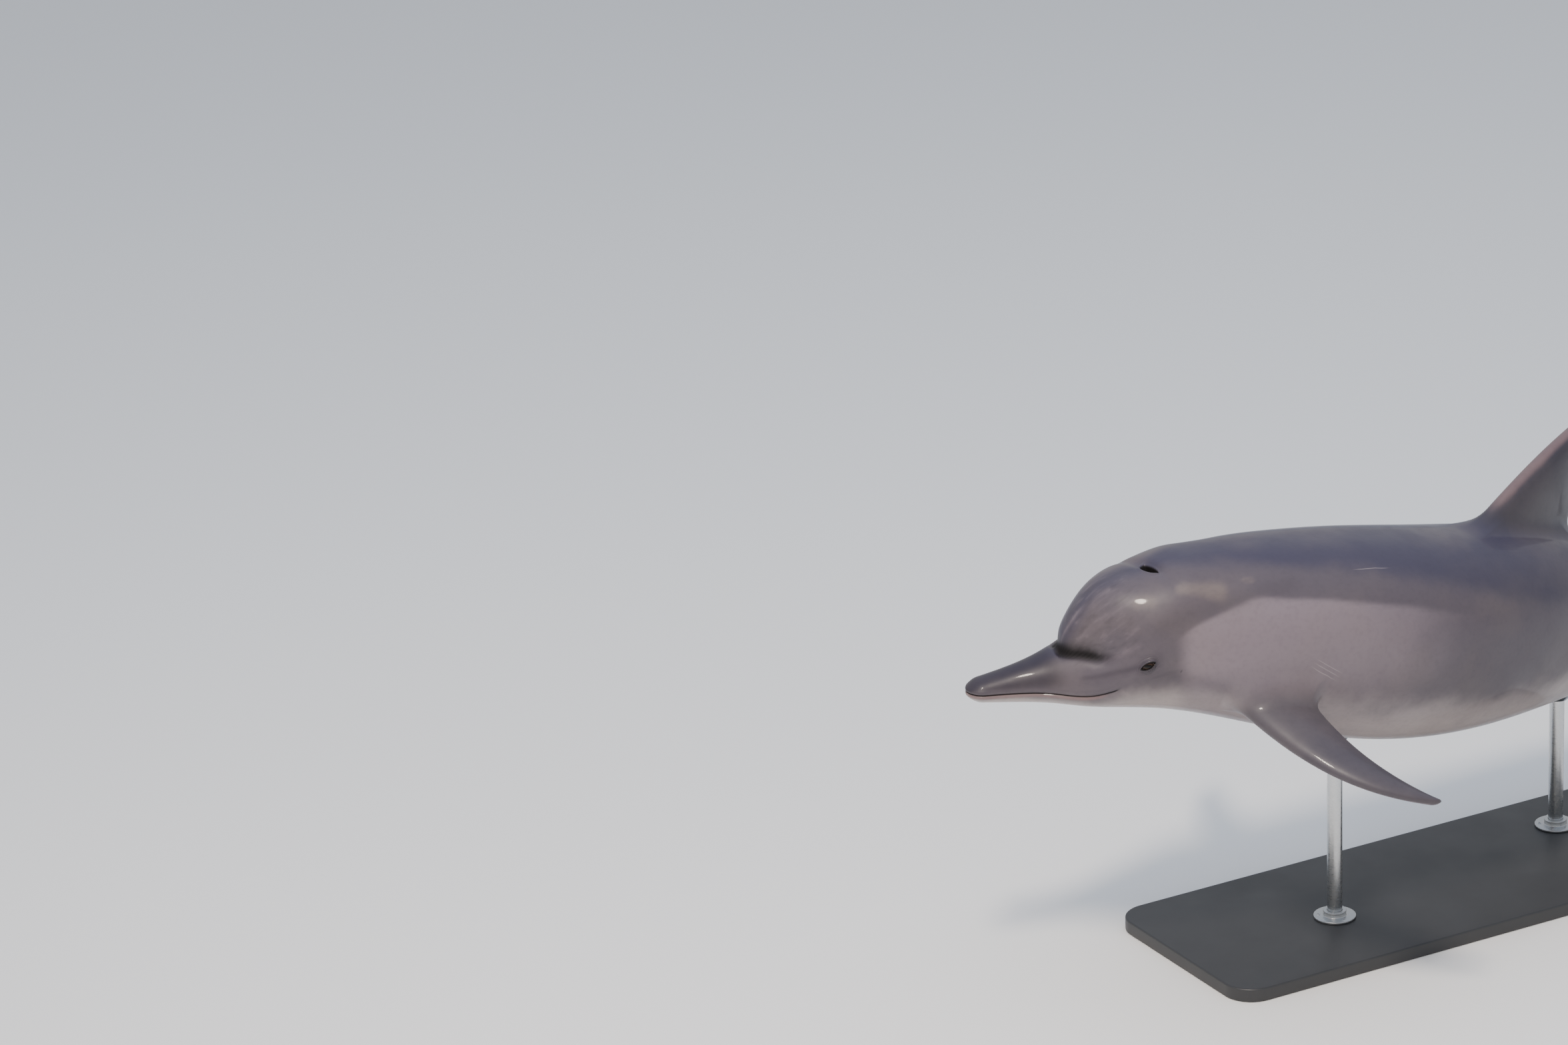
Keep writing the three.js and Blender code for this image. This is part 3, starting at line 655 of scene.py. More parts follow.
BLOWHOLE_HALF_WIDTH = 23 * MM
BLOWHOLE_FRONT = 13 * MM
BLOWHOLE_REAR = 5 * MM
BLOWHOLE_DEPTH = 30 * MM
BLOWHOLE_SKEW = 0.22  # how far the near end lies behind the far one, over the width


def weave_blowhole(weave, numbers, hole):
    """The open blowhole: rings over the head close in on a wide oval, blunt in front and flat behind,
    past a raised front lip and a dished rear one, then go down a short tube."""
    turn = hole.turn()
    radius = body_radius(np.array(BLOWHOLE_STATION), np.array(0.0)) * BODY_LENGTH
    behind = -np.cos(turn)
    bulge = np.where(behind > 0, BLOWHOLE_REAR, BLOWHOLE_FRONT)
    across = BLOWHOLE_HALF_WIDTH * np.sin(turn)
    edge = np.stack([behind * bulge - BLOWHOLE_SKEW * across, across], -1)
    rim_flat = np.stack(
        [(hole.station - BLOWHOLE_STATION) * BODY_LENGTH, hole.angle * radius - BLOWHOLE_OFFSET], -1
    )
    run = np.concatenate([np.linspace(0, 0.4, 6)[1:], np.linspace(0.4, 1, 16)[1:]])[:, None, None]
    flat = rim_flat + (edge - rim_flat) * run
    station = BLOWHOLE_STATION + flat[..., 0] / BODY_LENGTH
    angle = (flat[..., 1] + BLOWHOLE_OFFSET) / radius
    distance = np.linalg.norm(flat - edge, axis=-1)
    rear = smooth(-0.3, 0.5, behind)
    lip = 2 * MM * hump(distance - 3.5 * MM, 4 * MM) * (1 - rear)
    dish = -2.6 * MM * hump(distance, 9 * MM) * rear
    rim_line = 0.9 * MM * hump(distance - 2 * MM, 1.6 * MM) * rear
    rise = lip + dish + rim_line - 1.4 * MM * hump(distance, 1.2 * MM)
    skin = skin_point(station, angle) + surface_normal(station, angle) * rise[..., None]
    rim = numbers[hole.row, hole.column % AROUND]
    # Painted shade round the opening and down the tube, black as if no light reached in.
    rim = weave.rings(rim, skin, dark=hump(distance, 1.3 * MM) * 0.8)

    middle = skin[-1].mean(0)
    down = -surface_normal(np.array(BLOWHOLE_STATION), np.array(BLOWHOLE_OFFSET / radius))
    depth = np.linspace(0, 1, 11)[1:, None, None]
    narrow = 1 - 0.3 * smooth(0, 0.35, depth) - 0.35 * smooth(0.6, 1, depth)
    tube = middle + (skin[-1] - middle) * narrow + down * depth * BLOWHOLE_DEPTH
    rim = weave.rings(rim, tube, dark=1.0)
    weave.close(rim, middle + down * (BLOWHOLE_DEPTH + 2 * MM), dark=1.0)


# ---- Markings -----------------------------------------------------------------------------------
CAPE_STATIONS = [0, 0.07, 0.12, 0.2, 0.3, 0.4, 0.5, 0.6, 0.75, 0.9, 1]
CAPE_ANGLE = [70, 24, 8, 22, 36, 52, 64, 66, 70, 86, 96]
BLAZE_STATIONS = [0.15, 0.161, 0.172, 0.186, 0.201, 0.213, 0.231, 0.25, 0.27, 0.292, 0.33, 0.4, 0.48]
BLAZE_ANGLE = [64, 59.6, 56, 52.8, 49.3, 46.5, 49, 51.5, 53.5, 55.5, 58, 65, 74]
BELLY_STATIONS = [0, 0.06, 0.112, 0.2, 0.3, 0.45, 0.6, 0.7, 0.8, 0.9, 1]
BELLY_ANGLE = [98, 98, 102, 114, 120, 123, 124, 132, 150, 176, 184]


def line_distance(station, side, start, end):
    """The distance on the skin, in metres, from a straight mark between two (station, angle) ends."""
    radius = body_radius(np.array((start[0] + end[0]) / 2), np.radians((start[1] + end[1]) / 2))
    spot = np.stack([station, np.radians(side) * radius], -1) * BODY_LENGTH
    start, end = (np.array([at, math.radians(angle) * radius]) * BODY_LENGTH for at, angle in (start, end))
    run = end - start
    share = np.clip((spot - start) @ run / (run @ run), 0, 1)
    return np.linalg.norm(spot - start - share[:, None] * run, axis=-1)


def markings(points):
    """The painted fields of every point, from its station and its angle from straight up in degrees.

    cape_reach and belly_reach are the degrees inside the dark back and the pale belly. The others are
    shares: shade of the soft dark marks and of the crease under the melon, where it is painted shadow;
    glow of the pale ones; warm of the painted sheen, beige reflections of sky on the wet neck and head;
    lips of the mouth's edge and the dorsal fin's front rim; and streaks of the melon's streaked zone.
    """
    station = points[:, 0] / BODY_LENGTH
    above = points[:, 2] / BODY_LENGTH - level(np.clip(station, 0, TAIL_END))
    turn = np.arctan2(points[:, 1] / BODY_LENGTH, above)
    side = np.degrees(np.abs(turn))
    cape = spline(CAPE_STATIONS, CAPE_ANGLE)(station) - side
    pale = side - spline(BELLY_STATIONS, BELLY_ANGLE)(station)
    eye = (EYE_STATION, math.degrees(EYE_ANGLE))

    def mark(share, start, end, reach):
        return share * hump(line_distance(station, side, start, end), reach)

    beak = 0.78 * (1 - smooth(0.06, 0.085, station)) * (1 - smooth(60, 96, side))
    darks_and_crease_shadow = [
        mark(0.6, eye, (EYE_STATION + 0.003, eye[1]), 21 * MM),  # eye patch
        mark(0.45, eye, (0.088, 66), 8 * MM),  # bridle, from eye to melon
        mark(0.3, (EYE_STATION, 84), (0.2, 112), 17 * MM),  # stripe, from eye to flipper
        mark(0.3, (0.088, 0), (0.135, 0), 15 * MM),  # crown
        mark(0.8, (0.158, 90), (0.1582, 90), 1.6 * MM),  # ear
        mark(0.3, (0.145, 52), (0.24, 42), 24 * MM),  # edge before the blaze
        beak,
        # painted shadow in the crease under the melon's overhang
        crease_nearness(station, turn, 12 * MM),
    ]
    blaze = smooth(0.148, 0.172, station) * (1 - smooth(0.26, 0.45, station))
    below = side - spline(BLAZE_STATIONS, BLAZE_ANGLE)(station)
    blaze = blaze * smooth(-3, 4, below) * (1 - 0.5 * smooth(80, 120, side))
    pales = [
        blaze,
        mark(0.5, (0.0785, 7), (0.114, 12), 5 * MM),
        mark(0.35, (0.083, 24), (0.118, 27), 6 * MM),
        mark(0.3, (0.128, 58), (0.095, 58), 7 * MM),
    ]
    # Painted sheen: beige reflections of the sky on the rippled wet skin of neck and head.
    painted_sheens = [
        mark(0.9, (0.162, 32), (0.188, 38), 17 * MM),
        mark(0.6, (0.208, 34), (0.213, 35), 8 * MM),
        mark(0.5, (0.13, 30), (0.14, 33), 14 * MM),
    ]
    height = above * BODY_LENGTH
    lips = hump(height + 3 * MM, 5 * MM) * (1 - smooth(0.09, GAPE_CORNER, station))
    front = bezier(DORSAL["front"], np.linspace(0, 1, 60))
    out = points[:, 2] / BODY_LENGTH - DORSAL["foot"]
    behind = (station - np.interp(out, front[:, 1], front[:, 0])) * BODY_LENGTH
    rim = 0.8 * hump(behind, 13 * MM) * smooth(0.004, 0.03, out)
    melon = smooth(0.072, 0.085, station) * (1 - smooth(0.12, 0.155, station)) * (1 - smooth(55, 80, side))
    return {
        "cape_reach": cape,
        "belly_reach": pale,
        "shade": np.max(darks_and_crease_shadow, axis=0),
        "glow": np.max(pales, axis=0),
        "sheen_spots": np.max(painted_sheens, axis=0),
        "lips": np.maximum(lips, rim),
        "streaks": melon,
    }


def make_mesh(name, points, faces, attributes=()):
    """A smooth-shaded mesh object from an array of points and a list of face arrays."""
    mesh = bpy.data.meshes.new(name)
    mesh.vertices.add(len(points))
    mesh.vertices.foreach_set("co", np.asarray(points, np.float32).ravel())
    corners = np.concatenate([face.ravel() for face in faces])
    sizes = np.concatenate([np.full(len(face), face.shape[1]) for face in faces])
    mesh.loops.add(len(corners))
    mesh.loops.foreach_set("vertex_index", corners.astype(np.int32))
    mesh.polygons.add(len(sizes))
    mesh.polygons.foreach_set("loop_start", (np.cumsum(sizes) - sizes).astype(np.int32))
    mesh.polygons.foreach_set("use_smooth", np.ones(len(sizes), bool))
    for label, kind, values in attributes:
        layer = mesh.attributes.new(label, kind, "POINT")
        key = "vector" if kind == "FLOAT_VECTOR" else "value"
        layer.data.foreach_set(key, np.asarray(values, np.float32).ravel())
    mesh.update(calc_edges=True)
    mesh.validate()
    piece = bpy.data.objects.new(name, mesh)
    bpy.context.scene.collection.objects.link(piece)
    return piece


def finish_weave(weave, name):
    """Drops the points that no face uses and makes the posed skin with its painted attributes."""
    points, values = np.concatenate(weave.points), np.concatenate(weave.values)
    quads, triangles = np.concatenate(weave.quads), np.concatenate(weave.triangles)
    used = np.unique(np.concatenate([quads.ravel(), triangles.ravel()]))
    renumber = np.zeros(len(points), int)
    renumber[used] = np.arange(len(used))
    points, values = points[used], values[used]
    painted = markings(points)
    # The third value is painted shade, for openings and creases.
    painted.update(zip(("fin_share", "under_share", "hollow_shade"), values.T))
    attributes = [("straight", "FLOAT_VECTOR", points)]
    attributes += [(label, "FLOAT", field) for label, field in painted.items()]
    faces = [renumber[quads], renumber[triangles]]
    return make_mesh(name, posed(points / BODY_LENGTH), faces, attributes)


def weave_skin():
    """The whole skin: the body's grid, then fins, eyes and blowhole grown out of its holes."""
    stations = skin_stations()
    degrees = math.radians
    dorsal = Hole(stations, 0.424, 0.61, -degrees(18), degrees(18))
    blowhole = Hole(stations, 0.136, 0.1635, -degrees(17), degrees(10))
    flippers, eyes, flukes = {}, {}, {}
    for name, side in SIDES.items():
        flipper_span = sorted([side * degrees(88), side * degrees(140)])
        flippers[name] = Hole(stations, 0.188, 0.277, *flipper_span)
        eye_span = sorted([side * (EYE_ANGLE - 0.2), side * (EYE_ANGLE + 0.2)])
        eyes[name] = Hole(stations, EYE_STATION - 0.0132, EYE_STATION + 0.0132, *eye_span)
        fluke_span = sorted([side * degrees(24), side * degrees(157)])
        flukes[name] = Hole(stations, 0.868, 0.9797, *fluke_span)
    weave = Weave()
    holes = [dorsal, blowhole, *flippers.values(), *eyes.values(), *flukes.values()]
    numbers = body_grid(weave, stations, holes)
    weave_fin(weave, numbers, dorsal, DORSAL, dorsal_place, 1, 30, 0.09)
    weave_blowhole(weave, numbers, blowhole)
    for name, side in SIDES.items():
        weave_fin(weave, numbers, flippers[name], FLIPPER, flipper_place(side), -side, 30, 0.09)
        weave_fin(weave, numbers, flukes[name], FLUKE, fluke_place(side), -side, 32, 0.07)
        weave_eye(weave, numbers, eyes[name], side)
    return finish_weave(weave, "dolphin_skin")


# ---- Eyeballs -----------------------------------------------------------------------------------
def eyeball(name, side):
    """A ball whose pole looks outwards: centre + radius * (cos a * out + sin a * round), a from 0 to pi.

    The attribute gaze holds each point's place across the line of sight, in metres: backwards,
    upwards and outwards.
    """
    centre, rearward, upward, outward = eye_axes(side)
    polar, around = np.meshgrid(
        np.linspace(0, math.pi, 49)[1:-1], np.arange(96) * (2 * math.pi / 96), indexing="ij"
    )
    back_way, up_way = np.sin(polar) * np.cos(around), np.sin(polar) * np.sin(around)
    gaze = np.stack([back_way, up_way, np.cos(polar)], -1) * EYE_RADIUS
    poles = np.array([[0, 0, EYE_RADIUS], [0, 0, -EYE_RADIUS]])
    gaze = np.concatenate([gaze.reshape(-1, 3), poles])
    faces = ring_faces(47, 96)
    if np.cross(rearward, upward) @ outward < 0:
        faces = [face[:, ::-1] for face in faces]
    axes = np.stack([rearward, upward, outward])
    points = posed((centre - outward * EYE_DEPTH + gaze @ axes) / BODY_LENGTH)
    return make_mesh(name, points, faces, [("gaze", "FLOAT_VECTOR", gaze)])


def ring_faces(rings, around):
    """Faces of stacked rings of points, then the first and last pole: quads between, fans at the ends."""
    numbers = np.arange(rings * around).reshape(rings, around)
    after = np.roll(numbers, -1, axis=1)
    quads = np.stack([numbers[:-1], numbers[1:], after[1:], after[:-1]], -1).reshape(-1, 4)
    first, last = rings * around, rings * around + 1
    top = np.stack([np.full(around, first), numbers[0], after[0]], -1)
    bottom = np.stack([np.full(around, last), after[-1], numbers[-1]], -1)
    return [quads, np.concatenate([top, bottom])]


# ---- The stand ----------------------------------------------------------------------------------
EASE_STEPS = 6
TURNED_POINTS = 96


def eased(corners, reach):
    """A profile whose inner corners are eased: each is a quadratic curve that leaves and meets its
    sides at the reach, (1-s)^2*a + 2s(1-s)*corner + s^2*b."""
    corners = np.array(corners, float)
    s = np.linspace(0, 1, EASE_STEPS)[:, None]
    pieces = [corners[:1]]
    for before, corner, after in zip(corners, corners[1:], corners[2:]):
        a = corner + (before - corner) * min(reach / math.dist(before, corner), 0.5)
        b = corner + (after - corner) * min(reach / math.dist(after, corner), 0.5)
        pieces.append((1 - s) ** 2 * a + 2 * s * (1 - s) * corner + s**2 * b)
    return np.concatenate([*pieces, corners[-1:]])


def sharpened(piece):
    """Keeps the stand's made edges crisp: an edge turning more than 40 degrees isn't shaded across."""
    piece.data.set_sharp_from_angle(angle=math.radians(40))
    return piece


def turned(name, profile, centre, lift=None):
    """A turned piece: each [radius, height] of a profile, from the top's middle to the bottom's,
    carried round an upright axis. Lift, if given, raises each point by a function of its place."""
    profile = np.asarray(profile)
    around = np.arange(TURNED_POINTS) * (2 * math.pi / TURNED_POINTS)
    radius, height = profile[1:-1, 0][:, None], profile[1:-1, 1][:, None]
    x = centre[0] + radius * np.cos(around)
    y = centre[1] + radius * np.sin(around)
    grid = np.stack([x, y, height + 0 * x], -1).reshape(-1, 3)
    poles = np.array([[*centre, profile[0, 1]], [*centre, profile[-1, 1]]])
    points = np.concatenate([grid, poles])
    if lift:
        points[:, 2] = lift(points)
    return sharpened(make_mesh(name, points, ring_faces(len(profile) - 2, TURNED_POINTS)))


def slab(name, low, high, corner, edge):
    """A board with rounded corners and eased edges: the outline of a rounded rectangle, drawn in by
    the edge profile's inset at each of its heights, and closed to the middle above and below."""
    low, high = np.array(low), np.array(high)
    half, middle = (high - low) / 2, (high + low) / 2
    quarter = np.linspace(0, math.pi / 2, 17)
    turns = np.concatenate([quarter + k * math.pi / 2 for k in range(4)])
    flips = np.repeat([[1, 1], [-1, 1], [-1, -1], [1, -1]], 17, axis=0)
    profile = eased([[0.4, half[2]], [0, half[2]], [0, -half[2]], [0.4, -half[2]]], edge)
    inset, height = profile[:, 0][:, None], profile[:, 1][:, None]
    radius = np.maximum(corner - inset, 0)
    inner = corner + np.maximum(inset - corner, 0)
    x = flips[:, 0] * np.maximum(half[0] - inner, 0) + radius * np.cos(turns)
    y = flips[:, 1] * np.maximum(half[1] - inner, 0) + radius * np.sin(turns)
    grid = np.stack([x, y, height + 0 * x], -1)[1:-1].reshape(-1, 3)
    poles = np.array([[0, 0, half[2]], [0, 0, -half[2]]])
    points = np.concatenate([grid, poles]) + middle
    return sharpened(make_mesh(name, points, ring_faces(len(profile) - 2, len(turns))))


def belly_over(centre):
    """The belly's height over a cup, as z = a + bx + cy + dx^2 + exy + fy^2 about the rod's axis,
    fitted by least squares to the belly's own points there."""
    station, angle = np.meshgrid(np.linspace(0.3, 0.68, 380), np.linspace(2.4, 3.9, 120), indexing="ij")
    points = posed(bare_point(station, angle) / BODY_LENGTH).reshape(-1, 3)
    offset = points[:, :2] - np.array(centre)
    near = np.linalg.norm(offset, axis=1) < 45 * MM

    def terms(x, y):
        return np.stack([np.ones_like(x), x, y, x * x, x * y, y * y], -1)

    factors = np.linalg.lstsq(terms(*offset[near].T), points[near, 2], rcond=None)[0]
    return lambda x, y: terms(x - centre[0], y - centre[1]) @ factors


def rod_place(which):
    """The middle and the radius of a rod."""
    low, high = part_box(f"stand_rod_{which}")
    return ((low.x + high.x) / 2, (low.y + high.y) / 2), (high.x - low.x) / 2


def rod(which):
    """A round bar with eased ends."""
    low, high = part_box(f"stand_rod_{which}")
    centre, radius = rod_place(which)
    profile = [[0, high.z], [radius, high.z], [radius, low.z], [0, low.z]]
    return turned(f"rod_{which}", eased(profile, 1 * MM), centre)


COLLAR_FLANGE = 5 * MM
COLLAR_WALL = 8 * MM
SCREW_COUNT = 3


def collar(which):
    """A flanged ring at the rod's foot."""
    low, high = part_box(f"stand_collar_{which}")
    centre, radius = rod_place(which)
    wide, flange = (high.x - low.x) / 2, low.z + COLLAR_FLANGE
    bore, neck = radius + 0.2 * MM, radius + COLLAR_WALL
    profile = [[bore, high.z - 2 * MM], [bore, high.z], [neck, high.z], [neck, flange]]
    profile += [[wide, flange], [wide, low.z], [bore, low.z]]
    profile = [[0, high.z - 2 * MM], *eased(profile, 1.6 * MM), [0, low.z]]
    return turned(f"collar_{which}", profile, centre)


def collar_screws(which):
    """Screws through the flange, each a low dome with a socket sunk in its middle."""
    low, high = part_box(f"stand_collar_{which}")
    centre, radius = rod_place(which)
    ring = (radius + COLLAR_WALL + (high.x - low.x) / 2) / 2
    top = low.z + COLLAR_FLANGE + 1 * MM
    dome = [[0, -1.1], [1.7, -1.1], [1.9, 0.1], [3.4, -0.2], [4, -1], [0, -1.01]]
    profile = np.array(dome) * MM + [0, top]
    screws = []
    for k in range(SCREW_COUNT):
        turn = math.radians(30) + 2 * math.pi * k / SCREW_COUNT
        spot = (centre[0] + ring * math.cos(turn), centre[1] + ring * math.sin(turn))
        screws.append(turned(f"collar_screw_{which}_{k + 1}", profile, spot))
    return screws


def cup(which):
    """A saddle under the belly: its upper rings follow the belly, its lower ones taper to the rod."""
    low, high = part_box(f"stand_cup_{which}")
    centre, radius = rod_place(which)
    wide = (high.x - low.x) / 2
    under = [[wide, low.z + 16 * MM], [radius + 7 * MM, low.z], [0, low.z]]
    profile = [[0, 0], [wide / 2, 0], [wide - 2 * MM, 0], [wide, -2 * MM], *under]
    belly_height = belly_over(centre)

    def lift(points):
        height = points[:, 2]
        on_belly = belly_height(points[:, 0], points[:, 1]) + height + 0.6 * MM
        return np.where(height < low.z / 2, on_belly, height)

    return turned(f"cup_{which}", profile, centre, lift)


# ---- Materials ----------------------------------------------------------------------------------
def linear(code):
    """An sRGB hex colour as linear red, green and blue, with full cover."""
    parts = [int(code[i : i + 2], 16) / 255 for i in (0, 2, 4)]
    return (*(c / 12.92 if c <= 0.04045 else ((c + 0.055) / 1.055) ** 2.4 for c in parts), 1.0)


def add_node(tree, kind, inputs=(), **settings):
    """Adds a node, makes its settings, then fills its inputs: a socket is linked, a value is set."""
    node = tree.nodes.new(kind)
    for label, value in settings.items():
        setattr(node, label, value)
    for key, value in dict(inputs).items():
        if isinstance(value, bpy.types.NodeSocket):
            tree.links.new(value, node.inputs[key])
        else:
            node.inputs[key].default_value = value
    return node


def new_material(name):
    """An empty material with its node tree, shader and output."""
    material = bpy.data.materials.new(name)
    material.use_nodes = True
    tree = material.node_tree
    tree.nodes.clear()
    shader = add_node(tree, "ShaderNodeBsdfPrincipled")
    add_node(tree, "ShaderNodeOutputMaterial", {"Surface": shader.outputs["BSDF"]})
    return material, tree, shader


def layered(tree, colour, layers):
    """Lays colours one over another. A layer's share is a smooth step, between a low and a high mark,
    of its painted field plus its pattern times a reach."""
    for field, pattern, reach, low, high, most, tint in layers:
        painted = 0.0
        if field:
            painted = add_node(tree, "ShaderNodeAttribute", attribute_name=field).outputs["Fac"]
        sum_inputs = {0: pattern, 1: reach, 2: painted}
        value = add_node(tree, "ShaderNodeMath", sum_inputs, operation="MULTIPLY_ADD").outputs[0]
        step = {"Value": value, "From Min": low, "From Max": high, "To Max": most}
        share = add_node(tree, "ShaderNodeMapRange", step, interpolation_type="SMOOTHSTEP").outputs[0]
        mix = {0: share, 6: colour, 7: tint}
        colour = add_node(tree, "ShaderNodeMix", mix, data_type="RGBA").outputs[2]
    return colour


def clouds(tree, place, size, detail=3.0):
    """A cloudy pattern between about -0.3 and 0.3, whose clouds are the given size in metres."""
    noise = add_node(tree, "ShaderNodeTexNoise", {"Vector": place, "Scale": 1 / size, "Detail": detail})
    inputs = {0: noise.outputs["Fac"], 1: 0.5}
    return add_node(tree, "ShaderNodeMath", inputs, operation="SUBTRACT").outputs[0]


# Marks of other dolphins' teeth: station, angle in degrees, turn from the body's line in degrees,
# length in mm and lines side by side. A lift above the back, in mm, puts a mark on the dorsal fin.
RAKES = [
    (0.309, -35.5, 1, 96, 1, 0),
    (0.36, 40, -14, 130, 3, 0),
    (0.545, -66, 24, 150, 5, 0),
    (0.7, -60, -12, 110, 3, 0),
    (0.42, 48, 18, 140, 3, 0),
    (0.6, 62, -20, 160, 5, 0),
    (0.26, 70, 8, 90, 1, 0),
    (0.27, -96, -24, 80, 3, 0),
    (0.575, 0, 16, 60, 1, 110),
    (0.585, 0, 52, 90, 3, 60),
]
TOOTH_GAP = 9 * MM
RAKE_HALF_WIDTH = 1.3 * MM
RAKE_REACH = 45 * MM  # how deep below the skin a mark still shows


def rake_share(tree, place, wander, rake):
    """The share of one set of tooth marks: straight lines a tooth's gap apart, worked out in a frame
    laid on the skin, whose first axis runs along the lines and whose third is the skin's normal."""
    station, angle, turn, length, lines, lift = rake
    centre = bare_point(np.array(station), np.radians(angle))
    normal = Vector(surface_normal(np.array(station), np.radians(angle)))
    if lift:
        centre = centre + np.array([0, 0, lift * MM])
        normal = Vector((0, -1, 0))
    along = Vector((1, 0, 0)) - normal * normal.x
    along = Matrix.Rotation(math.radians(turn), 3, normal) @ along.normalized()
    axes = Matrix((along, normal.cross(along), normal)).transposed()
    placing = {
        "Vector": place,
        "Location": tuple(centre),
        "Rotation": tuple(axes.to_euler()),
        "Scale": (length * MM / 2, TOOTH_GAP, RAKE_REACH),
    }
    local = add_node(tree, "ShaderNodeMapping", placing, vector_type="TEXTURE").outputs[0]
    across = add_node(tree, "ShaderNodeSeparateXYZ", {0: local}).outputs["Y"]
    bent = {0: wander, 1: 1.1, 2: across}
    bent = add_node(tree, "ShaderNodeMath", bent, operation="MULTIPLY_ADD").outputs[0]
    away = add_node(tree, "ShaderNodeMath", {0: bent, 1: 0.5}, operation="PINGPONG").outputs[0]
    line = {"Value": away, "From Min": 0.0, "From Max": RAKE_HALF_WIDTH / TOOTH_GAP, "To Min": 1.0, "To Max": 0.0}
    share = add_node(tree, "ShaderNodeMapRange", line, interpolation_type="SMOOTHSTEP").outputs[0]
    distance = add_node(tree, "ShaderNodeVectorMath", {0: local}, operation="ABSOLUTE").outputs[0]
    window = {6: distance, 7: (0.3, lines / 2 - 0.1, 0.8), 8: (1, lines / 2, 1), 9: (1, 1, 1), 10: (0, 0, 0)}
    window = add_node(
        tree, "ShaderNodeMapRange", window, data_type="FLOAT_VECTOR", interpolation_type="SMOOTHSTEP"
    )
    window = add_node(tree, "ShaderNodeSeparateXYZ", {0: window.outputs[1]})
    for side in window.outputs:
        share = add_node(tree, "ShaderNodeMath", {0: share, 1: side}, operation="MULTIPLY").outputs[0]
    return share


def wet_skin(look):
    """Living dolphin skin, smooth as rubber and wet: no pores or hair, soft clouds of grey, a few pale
    scratches from other dolphins' teeth, and a thin film of water that gives one small sharp light
    over a broad soft sheen."""
    material, tree, shader = new_material("wet_dolphin_skin")
    place = add_node(tree, "ShaderNodeAttribute", attribute_name="straight").outputs["Vector"]
    wander, broad, fine = (clouds(tree, place, size * MM) for size in (70, 150, 9))
    # The melon's streaks fan up and back from the crease: clouds drawn out five times as long.
    fan = {"Vector": place, "Rotation": (0, math.radians(-32), 0), "Scale": (60 * MM, 14 * MM, 12 * MM)}
    fan = add_node(tree, "ShaderNodeMapping", fan, vector_type="TEXTURE").outputs[0]
    streak = clouds(tree, fan, 1.0)
    colour = layered(
        tree,
        look.flank,
        [
            ("cape_reach", wander, 14, -8, 9, 1, look.cape),
            ("belly_reach", wander, 20, -14, 18, 0.95, look.belly),
            ("glow", wander, 0.35, 0.05, 0.95, 0.9, look.patch),
            # Painted sheen: beige reflections of the sky on the wet neck and head.
            ("sheen_spots", wander, 1.2, 0.1, 0.9, 0.42, look.tan),
            ("fin_share", wander, 0, 0, 1, 0.8, look.fins),
            ("under_share", wander, 0.4, 0, 1, 0.5, look.patch),
            ("lips", wander, 0.6, 0.1, 0.9, 0.75, look.lips),
            # Dark markings, with the painted shadow in the crease under the melon
            ("shade", wander, 0.25, 0, 1, 0.9, look.marks),
            ("streaks", streak, 2.4, 1.0, 1.6, 0.26, look.patch),
            ("streaks", streak, -2.4, 1.0, 1.6, 0.3, look.marks),
            (None, broad, 1, -0.1, 0.2, 0.12, look.tan),
            (None, fine, 1, -0.1, 0.3, 0.1, look.marks),
        ],
    )
    # Tooth marks are 1 mm wide; drawn twice as wide, or they would be lost.
    marks = 0.0
    for rake in RAKES:
        share = rake_share(tree, place, wander, rake)
        marks = add_node(tree, "ShaderNodeMath", {0: marks, 1: share}, operation="MAXIMUM").outputs[0]
    # Near-black painted shade in the mouth line, blowhole, sockets, lid edges and the melon's crease.
    scars = [(None, marks, 1, 0, 1, 0.42, look.scars), ("hollow_shade", wander, 0, 0, 1, 1, look.hollow_shade_colour)]
    colour = layered(tree, colour, scars)
    tree.links.new(colour, shader.inputs["Base Color"])

    damp = clouds(tree, place, 60 * MM)
    rough = {"Value": damp, "From Min": -0.2, "From Max": 0.2}
    rough.update({"To Min": look.roughness + 0.06, "To Max": look.roughness - 0.05})
    rough = add_node(tree, "ShaderNodeMapRange", rough, interpolation_type="SMOOTHSTEP").outputs[0]
    # Hollows are drained of their shine, as if no light reached into them.
    dark = add_node(tree, "ShaderNodeAttribute", attribute_name="hollow_shade").outputs["Fac"]
    rough = add_node(tree, "ShaderNodeMath", {0: rough, 1: dark}, operation="MAXIMUM").outputs[0]
    tree.links.new(rough, shader.inputs["Roughness"])
    film = {"Value": dark, "To Min": 0.32, "To Max": 0.0}
    film = add_node(tree, "ShaderNodeMapRange", film).outputs[0]
    tree.links.new(film, shader.inputs["Coat Weight"])
    shader.inputs["IOR"].default_value = 1.36
    shader.inputs["Coat Roughness"].default_value = 0.07
    shader.inputs["Coat IOR"].default_value = 1.33
    ripple = clouds(tree, place, 8 * MM, 2)
    bump = {"Strength": 0.22, "Distance": 0.5 * MM, "Height": ripple}
    bump = add_node(tree, "ShaderNodeBump", bump).outputs["Normal"]
    tree.links.new(bump, shader.inputs["Normal"])
    return material


